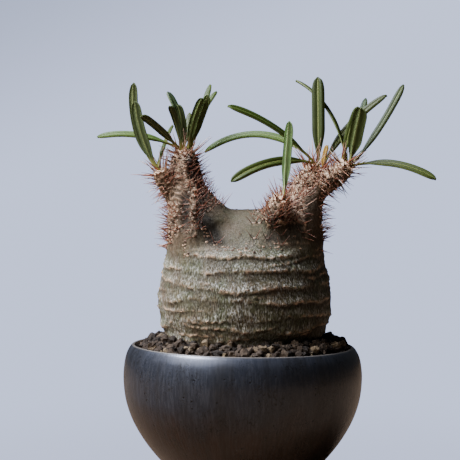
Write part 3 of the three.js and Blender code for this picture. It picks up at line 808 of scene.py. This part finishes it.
# Young bark on the limbs and the trunk top; in the valleys the smooth dark young bark is painted shade.
young_and_valley_shade = np.maximum(np.maximum(1 - on_trunk, 0.55 * smooth(z, 130, 138)), np.clip(1.15 * valley, 0, 1))
at_back = 0.3 * (1 - front)
old_bark = 0.2 + at_back + (0.8 - at_back) * on_trunk * (1 - smooth(z + 3 * ragged, 116, 135))
# Fewer silvery flecks where painted shade lies.
store(caudex.data, "old_bark", old_bark * (1 - 0.6 * young_and_valley_shade) * (1 - 0.7 * painted_shade))
store(caudex.data, "young_bark_and_valley_shade", young_and_valley_shade)
# Painted shade also in the left arm's groove, in the valleys by the arm roots and on the trunk top.
painted_shade = np.maximum(painted_shade, np.maximum(groove, np.clip(1.2 * valley, 0, 1)))
painted_shade = np.maximum(painted_shade, 0.3 * smooth(z, 130, 138) * on_trunk)
store(caudex.data, "painted_shade", painted_shade)
# Painted light and shade on the folds: paler on the roll above each crest, darker under it.
painted_fold_shading = on_folds * np.clip(0.35 + 0.75 * roll - 0.8 * under_fold, 0, 1) + (1 - on_folds) * 0.5
store(caudex.data, "painted_fold_shading", painted_fold_shading)
store(caudex.data, "spiny", spiny)
# The crown attribute holds the pale crowns and the painted light of pale.
store(caudex.data, "crown", np.maximum(crown, pale))
# Spine light: 1 in plain light, lower in painted shade, higher in painted light; it paints the spines and
# their cushions.
store(caudex.data, "spine_light", 1 - 0.6 * painted_shade + 0.6 * pale)
spine_size = (1 - 0.15 * pale * (1 - crown) + 0.6 * crown) * (1 - 0.1 * front_share) * (1 + 0.25 * lit_right_tops)
store(caudex.data, "spine_size", spine_size)
store(caudex.data, "spine_lean", growth * tilt[:, None], "FLOAT_VECTOR")
caudex.data.update()
caudex.data.shade_smooth()

# Bark: smooth grey-green skin with upright cracks 0.6 mm apart and silvery flecks, cream to tan cork in
# grains of 2 mm along the crests of the folds, and painted shade in the creases and the hollows between
# cushions. Each fold has painted light on its roll above the crest and painted shade below; the shaded
# flanks, grooves and valleys are painted darker. The growing tips are pale with young cork, and the same
# pale cork is painted on lit tops as painted light.
bark, tree = new_material("pachycaul_bark")
place = add(tree, "TexCoord").outputs["Object"]
upright = add(tree, "Mapping", [place, ("Scale", (1, 1, 0.3))])
cloud = add(tree, "TexNoise", [place, 70, 5, 0.6])
cracks = add(tree, "TexNoise", [upright, 1700, 1.5, 0.6, ("Distortion", 0.3)])
flecks = add(tree, "TexNoise", [upright, 1450, 2, 0.7])
patches = add(tree, "TexNoise", [place, 45, 4, 0.65])
corky = add(tree, "TexNoise", [place, 420, 4, 0.7])
painted_fold_shading, young_and_valley_shade, painted_shade_here, old_bark_out_of_shade, crest_here, crease_here, pale_crowns_and_lit_tops = [
    add(tree, "Attribute", attribute_name=name).outputs["Fac"]
    for name in ("painted_fold_shading", "young_bark_and_valley_shade", "painted_shade", "old_bark", "crest", "crease", "crown")
]
green = add(tree, "MapRange", [cloud, 0.35, 0.65])
old_ground = add(tree, "Mix", [green, "#6a5a47", "#5a5e42"], data_type="RGBA")
# The painted fold shading scales the ground colour and, with the silver patches, the share of flecks.
shade = add(tree, "MapRange", [painted_fold_shading, 0, 1, 0.62, 1.15])
colour = add(tree, "VectorMath", [old_ground, shade], operation="SCALE")
# Young bark colour, painted darker where painted shade lies.
young_and_shaded_tone = add(tree, "Mix", [painted_shade_here, "#5f4f3d", "#221d15"], data_type="RGBA")
fleck = add(tree, "MapRange", [flecks, 0.48, 0.62])
silver = add(tree, "MapRange", [patches, 0.38, 0.62, 0.2, 1])
worn = add(tree, "Math", [silver, old_bark_out_of_shade], operation="MULTIPLY")
lit_band = add(tree, "MapRange", [painted_fold_shading, 0, 0.85, 0.35, 1.15])
worn_and_lit = add(tree, "Math", [worn, lit_band], operation="MULTIPLY", use_clamp=True)
fleck_share = add(tree, "Math", [fleck, worn_and_lit], operation="MULTIPLY")
crack = add(tree, "MapRange", [cracks, 0.5, 0.38, 0, 0.8])
old_skin = add(tree, "MapRange", [young_and_valley_shade, 0, 1, 1, 0.2])
crack_share = add(tree, "Math", [crack, old_skin], operation="MULTIPLY")
crust = add(tree, "MapRange", [corky, 0.42, 0.6])
clumps = add(tree, "TexNoise", [place, 190, 2])
clump = add(tree, "MapRange", [clumps, 0.4, 0.58, 0.25, 1.3])
broken_crust = add(tree, "Math", [crust, clump], operation="MULTIPLY")
cork_share = add(tree, "Math", [crest_here, broken_crust], operation="MULTIPLY", use_clamp=True)
# Painted shade in the creases and hollows.
crease_shade_share = add(tree, "Math", [crease_here, 0.85], operation="MULTIPLY")
# Pale young cork on the crowns, and on lit tops as painted light.
young_and_lit_cork_share = add(tree, "Math", [pale_crowns_and_lit_tops, crust], operation="MULTIPLY")
for share, coat in (
    (young_and_valley_shade, young_and_shaded_tone), (fleck_share, "#c9c7be"), (crack_share, "#2a251c"), (cork_share, "#dcb897"),
    (crease_shade_share, "#30271d"), (young_and_lit_cork_share, "#f4d2b0"),
):
    colour = add(tree, "Mix", [share, colour, coat], data_type="RGBA")
relief = add(tree, "Math", [cracks, 0.8, corky], operation="MULTIPLY_ADD")
bump = add(tree, "Bump", [("Strength", 0.9), ("Distance", 0.00045), ("Height", relief)])
dullness = add(tree, "MapRange", [young_and_valley_shade, 0, 1, 0.55, 0.85])
shader = add(tree, "BsdfPrincipled", [
    ("Base Color", colour), ("Roughness", dullness), ("IOR", 1.3), ("Normal", bump),
])
add(tree, "OutputMaterial", [shader])
caudex.data.materials.append(bark)
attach(caudex, "root")
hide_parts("caudex")

# Spines
# Old leaf stalks turned to thorns: stiff, in pairs, mostly 4 to 8 mm long and longer round the growing
# tips, each pair on a small corky cushion. They cover the arms but for smooth strips on the front.
SPINE_LENGTH = 8.6 * MM
SPINE_ROOT = 0.32 * MM
SPINE_POINT = 0.04 * MM
PAIR_GAP = 0.5 * MM
SUNK = -0.8 * MM
CUSHION = (1.5 * MM, 0.6 * MM, 0.4 * MM)
spine_tree = bpy.data.node_groups.new("grow_spine_pairs", "GeometryNodeTree")
given = inputs_of(
    spine_tree, Spacing="Float", Length="Float", Root="Float", Spread="Float", Bend="Float", Seed="Int",
    Material="Material",
)
along_z = add(spine_tree, "SeparateXYZ", [add(spine_tree, "GeometryNodeInputPosition")])
cone = add(spine_tree, "GeometryNodeMeshCone", [
    ("Vertices", 4), ("Side Segments", 3), ("Fill Segments", 1), ("Radius Top", SPINE_POINT),
    ("Radius Bottom", given["Root"]), ("Depth", given["Length"]),
])
part_way = add(spine_tree, "Math", [along_z.outputs["Z"], given["Length"]], operation="DIVIDE")
marked = add(spine_tree, "GeometryNodeStoreNamedAttribute", [
    cone, ("Name", "along_spine"), ("Value", part_way),
])
squared = add(spine_tree, "Math", [part_way, 2], operation="POWER")
bow = add(spine_tree, "Math", [squared, given["Bend"]], operation="MULTIPLY")
sideways = add(spine_tree, "CombineXYZ", [("Y", bow)])
thorn = add(spine_tree, "GeometryNodeSetPosition", [marked, ("Offset", sideways)])
pair = add(spine_tree, "GeometryNodeJoinGeometry")
for side in (1, -1):
    apart = add(spine_tree, "Math", [given["Spread"], side], operation="MULTIPLY")
    rotation = add(spine_tree, "CombineXYZ", [("Y", apart)])
    spine = add(spine_tree, "GeometryNodeTransform", [
        thorn, ("Translation", (side * PAIR_GAP, 0, SUNK)), ("Rotation", rotation),
    ])
    spine_tree.links.new(spine.outputs[0], pair.inputs[0])
ball_mesh = add(spine_tree, "GeometryNodeMeshUVSphere", [("Segments", 6), ("Rings", 4)])
cushion = add(spine_tree, "GeometryNodeTransform", [
    ball_mesh, ("Scale", CUSHION), ("Translation", (0, 0, -0.0001)),
])
cushion_mark = add(spine_tree, "GeometryNodeStoreNamedAttribute", [
    cushion, ("Name", "along_spine"), ("Value", -0.2),
])
spine_tree.links.new(cushion_mark.outputs[0], pair.inputs[0])
spiny_at, crown_at, size_at, light_at = [
    add(spine_tree, "GeometryNodeInputNamedAttribute", [name])
    for name in ("spiny", "crown", "spine_size", "spine_light")
]
lean_at = add(spine_tree, "GeometryNodeInputNamedAttribute", ["spine_lean"], data_type="FLOAT_VECTOR")
dense_at = add(spine_tree, "Math", [spiny_at, crown_at], operation="MAXIMUM")
points = add(spine_tree, "GeometryNodeDistributePointsOnFaces", [
    given["Geometry"], ("Distance Min", given["Spacing"]), ("Density Max", 3e6),
    ("Density Factor", dense_at), ("Seed", given["Seed"]),
], distribute_method="POISSON")
jitter = add(spine_tree, "FunctionNodeRandomValue", [
    (-0.38, -0.38, -0.38), (0.38, 0.38, 0.38), ("Seed", 2),
], data_type="FLOAT_VECTOR")
leaning = add(spine_tree, "VectorMath", [points.outputs["Normal"], lean_at], operation="ADD")
outward = add(spine_tree, "VectorMath", [leaning, jitter], operation="ADD")
swing = add(spine_tree, "VectorMath", [lean_at, points.outputs["Normal"]], operation="CROSS_PRODUCT")
turned_to = add(spine_tree, "FunctionNodeAxesToRotation", [
    ("Primary Axis", outward), ("Secondary Axis", swing),
], primary_axis="Z", secondary_axis="X")
size = add(spine_tree, "FunctionNodeRandomValue", [0.45, 1, ("Seed", 8)])
final_size = add(spine_tree, "Math", [size, size_at], operation="MULTIPLY")
hue = add(spine_tree, "FunctionNodeRandomValue", [0, 1, ("Seed", 15)])
# Spines are painted darker in painted shade.
in_shade = add(spine_tree, "Math", [light_at, 1], operation="MINIMUM")
hue_in_painted_shade = add(spine_tree, "Math", [hue, in_shade], operation="MULTIPLY")
hued = add(spine_tree, "GeometryNodeStoreNamedAttribute", [points, ("Name", "spine_tone"), ("Value", hue_in_painted_shade)])
lit = add(spine_tree, "GeometryNodeStoreNamedAttribute", [
    hued, ("Name", "cushion_tone"), ("Value", light_at),
])
pairs = add(spine_tree, "GeometryNodeInstanceOnPoints", [
    lit, ("Instance", pair), ("Rotation", turned_to), ("Scale", final_size),
])
real = add(spine_tree, "GeometryNodeRealizeInstances", [pairs])
end_tree(spine_tree, real, True, given["Material"])

# Thorn wood: reddish brown, dark to pale at random, and half glossy, paler at the point, on tan cork. The
# spines and cushions are painted darker in painted shade, and the cushions paler in painted light.
thorn_wood, tree = new_material("thorn_wood")
along, own_tone, cushion_light = [
    add(tree, "Attribute", attribute_name=name).outputs["Fac"]
    for name in ("along_spine", "spine_tone", "cushion_tone")
]
shaded_spine_colour = add(tree, "ValToRGB", [own_tone])
paint_ramp(shaded_spine_colour, {0: "#47221a", 0.4: "#84452f", 0.7: "#b07358", 0.88: "#d0a88c", 1: "#efdcc4"})
to_point = add(tree, "MapRange", [along, 0.35, 1, 0, 0.45])
pointed = add(tree, "Mix", [to_point, shaded_spine_colour, "#c9a58c"], data_type="RGBA")
in_cork = add(tree, "MapRange", [along, 0, 0.18, 1, 0])
# Cushions are painted dark in painted shade and pale in painted light.
painted_cushion_light = add(tree, "MapRange", [cushion_light, 0.4, 1.3])
cushion_cork = add(tree, "Mix", [painted_cushion_light, "#35231b", "#dbb798"], data_type="RGBA")
colour = add(tree, "Mix", [in_cork, pointed, cushion_cork], data_type="RGBA")
shader = add(tree, "BsdfPrincipled", [("Base Color", colour), ("Roughness", 0.45), ("IOR", 1.5)])
add(tree, "OutputMaterial", [shader])
spines = grown(
    caudex, "spines", spine_tree, Spacing=2.1 * MM, Length=SPINE_LENGTH, Root=SPINE_ROOT, Spread=0.5,
    Bend=0.2 * MM, Seed=6, Material=thorn_wood,
)
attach(spines, "root")

# Cork scars
# Where spines have dropped, a small lens of pinkish cork stays, some with a dark centre. They lie in broken
# rows along the crests of the folds and in rows under the arms.
SCAR_SHAPE = (1.0, 0.66, 0.35)
SCAR_LUMPS = 0.9 * MM
scar_tree = bpy.data.node_groups.new("grow_cork_scars", "GeometryNodeTree")
given = inputs_of(scar_tree, Spacing="Float", Width="Float", Seed="Int", Material="Material")
at = add(scar_tree, "GeometryNodeInputPosition")
lens_mesh = add(scar_tree, "GeometryNodeMeshUVSphere", [("Segments", 8), ("Rings", 5)])
from_axis = add(scar_tree, "VectorMath", [at, (1, 1, 0)], operation="MULTIPLY")
reach = add(scar_tree, "VectorMath", [from_axis], operation="LENGTH")
lens_mark = add(scar_tree, "GeometryNodeStoreNamedAttribute", [
    lens_mesh, ("Name", "from_centre"), ("Value", reach),
])
lens = add(scar_tree, "GeometryNodeTransform", [lens_mark, ("Scale", SCAR_SHAPE)])
where_scars = add(scar_tree, "GeometryNodeInputNamedAttribute", ["scarred"])
points = add(scar_tree, "GeometryNodeDistributePointsOnFaces", [
    given["Geometry"], ("Distance Min", given["Spacing"]), ("Density Max", 3e6),
    ("Density Factor", where_scars), ("Seed", given["Seed"]),
], distribute_method="POISSON")
level = add(scar_tree, "VectorMath", [(0, 0, 1), points.outputs["Normal"]], operation="CROSS_PRODUCT")
turned_to = add(scar_tree, "FunctionNodeAxesToRotation", [
    ("Primary Axis", points.outputs["Normal"]), ("Secondary Axis", level),
], primary_axis="Z", secondary_axis="X")
size = add(scar_tree, "FunctionNodeRandomValue", [0.5, 1, ("Seed", 8)])
final_size = add(scar_tree, "Math", [size, given["Width"]], operation="MULTIPLY")
hue = add(scar_tree, "FunctionNodeRandomValue", [0, 1, ("Seed", 15)])
hued = add(scar_tree, "GeometryNodeStoreNamedAttribute", [points, ("Name", "scar_tone"), ("Value", hue)])
lenses = add(scar_tree, "GeometryNodeInstanceOnPoints", [
    hued, ("Instance", lens), ("Rotation", turned_to), ("Scale", final_size),
])
real = add(scar_tree, "GeometryNodeRealizeInstances", [lenses])
lumps_at = add(scar_tree, "TexNoise", [at, 900])
lump = add(scar_tree, "VectorMath", [lumps_at.outputs["Color"], (0.5, 0.5, 0.5)], operation="SUBTRACT")
lump_size = add(scar_tree, "VectorMath", [lump, SCAR_LUMPS], operation="SCALE")
knobbly = add(scar_tree, "GeometryNodeSetPosition", [real, ("Offset", lump_size)])
end_tree(scar_tree, knobbly, True, given["Material"])

# Cork: dry and matt, cream to pinkish tan, dark where a thorn broke out of the middle.
cork, tree = new_material("scar_cork")
place = add(tree, "TexCoord").outputs["Object"]
own_tone = add(tree, "Attribute", attribute_name="scar_tone").outputs["Fac"]
middle = add(tree, "Attribute", attribute_name="from_centre").outputs["Fac"]
ramp = add(tree, "ValToRGB", [own_tone])
paint_ramp(ramp, {0: "#604838", 0.5: "#8a6b52", 1: "#bf9e80"})
hollow = add(tree, "MapRange", [middle, 0.3, 0.65, 1, 0])
torn = add(tree, "Math", [own_tone, 0.75], operation="LESS_THAN")
dark_share = add(tree, "Math", [hollow, torn], operation="MULTIPLY")
colour = add(tree, "Mix", [dark_share, ramp, "#2a1c14"], data_type="RGBA")
crumbs = add(tree, "TexNoise", [place, 1400, 3])
bump = add(tree, "Bump", [("Strength", 0.6), ("Distance", 0.0004), ("Height", crumbs)])
shader = add(tree, "BsdfPrincipled", [("Base Color", colour), ("Roughness", 0.85), ("Normal", bump)])
add(tree, "OutputMaterial", [shader])
scars = grown(caudex, "cork_scars", scar_tree, Spacing=1.4 * MM, Width=0.95 * MM, Seed=3, Material=cork)
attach(scars, "root")

# Leaves
# Narrow leathery leaves in a tuft at each growing tip: deep olive above with a pale midrib and rolled-under
# edges, grey-green below, on a short golden stalk that grows out of the crown of spines.
STALK_WIDTH = 1.3
STALK_THICK = 1.1
STALK_ROOT = 1.6
BLADE_THICK = 0.5
KEEL = 0.32
RIB_GROOVE = 0.24
PILLOW = 0.16
EDGE_CURL = 0.34
VEIN_SPACING = 1.1
VEIN_SLANT = 1.4
STEPS = 60
POINTS_ACROSS = 15
# tip, azimuth and distance of the foot on it, heading, turn along the leaf, rise at the foot, rise at the
# end, length, width, roll about the midrib, fold, age from new (0) to old (1)
LEAVES = [
    ("left_branchlet", 262, 1.9, 188, 0, 58, 86, 35.5, 6, 50, 14, 0.92),
    ("left_branchlet", 132, 1.9, 172, 2, 55, 97, 45, 5.4, 60, 14, 0.85),
    ("left_branchlet", 85, 1.9, 82, -8, 36, 34, 37, 3.4, -45, 16, 0.6),
    ("left_arm", 178, 3.6, 178, -10, 28, -13, 42, 4.8, -30, 12, 0.4),
    ("left_arm", 210, 3.6, 219, 18, 43, 20, 30.5, 4.4, 25, 16, 0.75),
    ("left_arm", 122, 3.4, 131, 10, 97, 47, 31.5, 4.6, 0, 16, 1.0),
    ("left_arm", 238, 3.6, 223, 40, 92, 26, 26, 4.2, -15, 20, 1.0),
    ("left_arm", 265, 3.4, 247, -15, 96, 61, 23, 4.4, -10, 20, 1.0),
    ("left_arm", 88, 3.4, 85, -3, 35, 53, 26, 4, -50, 16, 0.7),
    ("left_arm", 309, 3.6, 306, 1, 80, 48, 28, 4.6, -62, 18, 0.5),
    ("left_arm", 334, 3.6, 328, -35, 74, 46, 30.5, 4.8, -75, 18, 0.5),
    ("left_arm", 62, 3.6, 61, 0, 48, 62, 40, 4.8, -30, 14, 0.55),
    ("left_arm", 22, 3.8, 23, 21, 80, 43, 33.5, 4.6, -10, 14, 0.55),
    ("right_arm", 205, 3, 205, -9, 48, 15, 55, 5.4, -35, 12, 0.5),
    ("right_arm", 150, 3, 148, 28, 49, -39, 65, 5.4, -30, 12, 0.4),
    ("right_arm", 240, 3.6, 211, -16, 16, -37, 49, 5.6, -45, 12, 0.6),
    ("right_arm", 80, 1, 92, 0, 86, 80, 45.5, 7.2, -32, 12, 0.9),
    ("right_arm", 30, 3, 31, -38, 63, 32, 51, 5.2, 30, 14, 0.85),
    ("right_arm", 330, 3, 325, 2, 84, 70, 12.5, 3, 70, 16, 0.0),
    ("right_fork", 125, 2.6, 141, 1, 82, 23, 54, 3.2, 5, 14, 0.7),
    ("right_fork", 190, 2.6, 352, -8, 84, 66, 27.5, 4.4, 58, 20, 0.6),
    ("right_fork", 290, 2.8, 293, -4, 70, 58, 30.5, 8, -57, 24, 0.6),
    ("right_fork", 58, 2.7, 72, -19, 50, 68, 39, 4.8, -20, 14, 1.0),
    ("right_fork", 20, 2.7, 11, 13, 50, 62, 49, 5, 15, 14, 0.9),
    ("right_fork", 340, 3.4, 331, 11, 14, -32, 44.5, 5.2, 30, 12, 0.65),
    ("front_branchlet", 320, 1, 300, -10, 84, 78, 37, 5, -60, 20, 0.12),
]
evenly = np.linspace(-1, 1, POINTS_ACROSS)
ACROSS = 0.55 * np.sin(evenly * math.pi / 2) + 0.45 * evenly


def leaf_width(t, width):
    body = STALK_WIDTH + (width - STALK_WIDTH) * smooth(t, 0.05, 0.42)
    return body * np.sqrt(max(0.012, 1 - max(0, (t - 0.8) / 0.2) ** 2.6))


def leaf_mesh(
    name, tip, foot_azimuth, distance, heading, turn, rise, rise_end, length, width, roll, fold, age
):
    """A leaf's stalk and blade from one row of LEAVES, with values at its points that colour it."""
    centre, axis, radius = tip_of(tip)
    flat = around(np.array(foot_azimuth), 1, 0)
    out = flat - axis * (flat @ axis)
    out /= np.linalg.norm(out)
    x = distance / radius
    cap = CAP_RISE - 0.12 * x / 0.78 if x < 0.78 else 0.3 * (1 - x) / 0.22
    point = centre + out * distance + axis * (radius * cap + 0.35 + 0.75 * math.cos(math.radians(rise)))
    s = ACROSS
    sections, unders, u_rows, v_rows = [], [], [], []
    for i in range(STEPS + 1):
        t = i / STEPS
        a = math.radians(heading + turn * t)
        e = math.radians(rise + (rise_end - rise) * t)
        along = np.array([math.cos(e) * math.cos(a), math.cos(e) * math.sin(a), math.sin(e)])
        side = np.array([-math.sin(a), math.cos(a), 0])
        angle = math.radians(roll) * smooth(t, 0, 0.3)
        across = side * math.cos(angle) + np.cross(along, side) * math.sin(angle)
        up = np.cross(along, across)
        if i % 2 == 0:
            half = leaf_width(t, width) / 2
            blade = smooth(t, 0.02, 0.22)
            lift = half * math.tan(math.radians(fold)) * abs(s)
            pillow = PILLOW * half * (1 - (2 * abs(s) - 1) ** 2)
            groove = -RIB_GROOVE * np.exp(-((s / 0.16) ** 2))
            curl = -EDGE_CURL * half * np.clip((abs(s) - 0.72) / 0.28, 0, 1) ** 2
            top = lift + blade * (pillow + groove + curl)
            stalk = (1 - blade) * STALK_THICK * np.sqrt(np.maximum(0.02, 1 - s**2))
            thick = (BLADE_THICK - 0.16 * abs(s)) * blade + stalk
            keel = KEEL * blade * np.exp(-((s / 0.13) ** 2))
            low = top - thick - keel
            middle = 0.5 * (1 - blade) * STALK_THICK + 0.18
            base = point - along * STALK_ROOT if i == 0 else point
            ring = [base - across * (w * half) + up * (h + middle) for w, h in zip(s, top)]
            under = [base - across * (w * half * 0.97) + up * (h + middle) for w, h in zip(s, low)]
            sections.append(ring + under[::-1])
            unders += [0.0] * POINTS_ACROSS + [1.0] * POINTS_ACROSS
            u_rows += list(s) + list(s[::-1])
            v_rows += [t] * 2 * POINTS_ACROSS
        point = point + along * length / STEPS
    first, last = np.mean(sections[0], 0), np.mean(sections[-1], 0)
    mesh = skin(name, sections, first, last)
    ends = [0.0, 0.0]
    store(mesh, "underside", unders + ends)
    store(mesh, "across_blade", u_rows + ends)
    store(mesh, "along_blade", v_rows + [0.0, 1.0])
    store(mesh, "leaf_age", [age] * (len(unders) + 2))
    store(mesh, "blade_length", [length] * (len(unders) + 2))
    mesh.shade_smooth()
    return mesh


# Living leaf: waxy and half glossy above, with fine veins 1.1 mm apart that slope towards the tip, matt and
# paler below.
leaf_skin, tree = new_material("waxy_leaf")
place = add(tree, "TexCoord").outputs["Object"]
across_at, along_at, under_at, age_at, length_at = [
    add(tree, "Attribute", attribute_name=name).outputs["Fac"]
    for name in ("across_blade", "along_blade", "underside", "leaf_age", "blade_length")
]
off_rib = add(tree, "Math", [across_at], operation="ABSOLUTE")
cloud = add(tree, "TexNoise", [place, 150, 2])
ages = add(tree, "ValToRGB", [age_at])
paint_ramp(ages, {
    0: "#a8843c", 0.12: "#84a46c", 0.35: "#506728", 0.6: "#3a4516", 0.8: "#3c3f16", 1: "#2a3a1c",
})
patchy = add(tree, "MapRange", [cloud, 0.35, 0.65, 0.9, 1.08])
upper = add(tree, "VectorMath", [ages, patchy], operation="SCALE")
slant = add(tree, "Math", [along_at, length_at], operation="MULTIPLY")
behind = add(tree, "Math", [off_rib, -VEIN_SLANT, slant], operation="MULTIPLY_ADD")
wave = add(tree, "Math", [behind, 2 * math.pi / VEIN_SPACING], operation="MULTIPLY")
veins = add(tree, "Math", [wave], operation="SINE")
vein = add(tree, "MapRange", [veins, 0.3, 1, 0, 0.05])
rib = add(tree, "MapRange", [off_rib, 0.03, 0.12, 0.65, 0])
edge = add(tree, "MapRange", [off_rib, 0.92, 0.99, 0, 0.6])
greyed = add(tree, "Mix", [0.3, upper, "#76845a"], data_type="RGBA")
pale = add(tree, "Mix", [rib, greyed, "#949c5e"], data_type="RGBA")
stalk = add(tree, "MapRange", [along_at, 0.02, 0.2, 0.9, 0])
colour = upper
for share, coat in (
    (vein, "#6f7f40"), (rib, "#949c58"), (edge, "#83905a"), (under_at, pale), (stalk, "#98964e"),
):
    colour = add(tree, "Mix", [share, colour, coat], data_type="RGBA")
dullness = add(tree, "MapRange", [under_at, 0, 1, 0.5, 0.7])
relief = add(tree, "Math", [veins, 0.05, cloud], operation="MULTIPLY_ADD")
bump = add(tree, "Bump", [("Strength", 0.12), ("Distance", 0.0002), ("Height", relief)])
shader = add(tree, "BsdfPrincipled", [
    ("Base Color", colour), ("Roughness", dullness), ("IOR", 1.33), ("Normal", bump),
])
add(tree, "OutputMaterial", [shader])

count = {}
for row in LEAVES:
    count[row[0]] = count.get(row[0], 0) + 1
    own_name = f"{row[0]}_{count[row[0]]}"
    node_name = "leaf_" + own_name
    leaf = plain_object("blade_" + own_name, leaf_mesh("blade_" + own_name, *row))
    leaf.data.materials.append(leaf_skin)
    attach(leaf, "root")
    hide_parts(node_name)
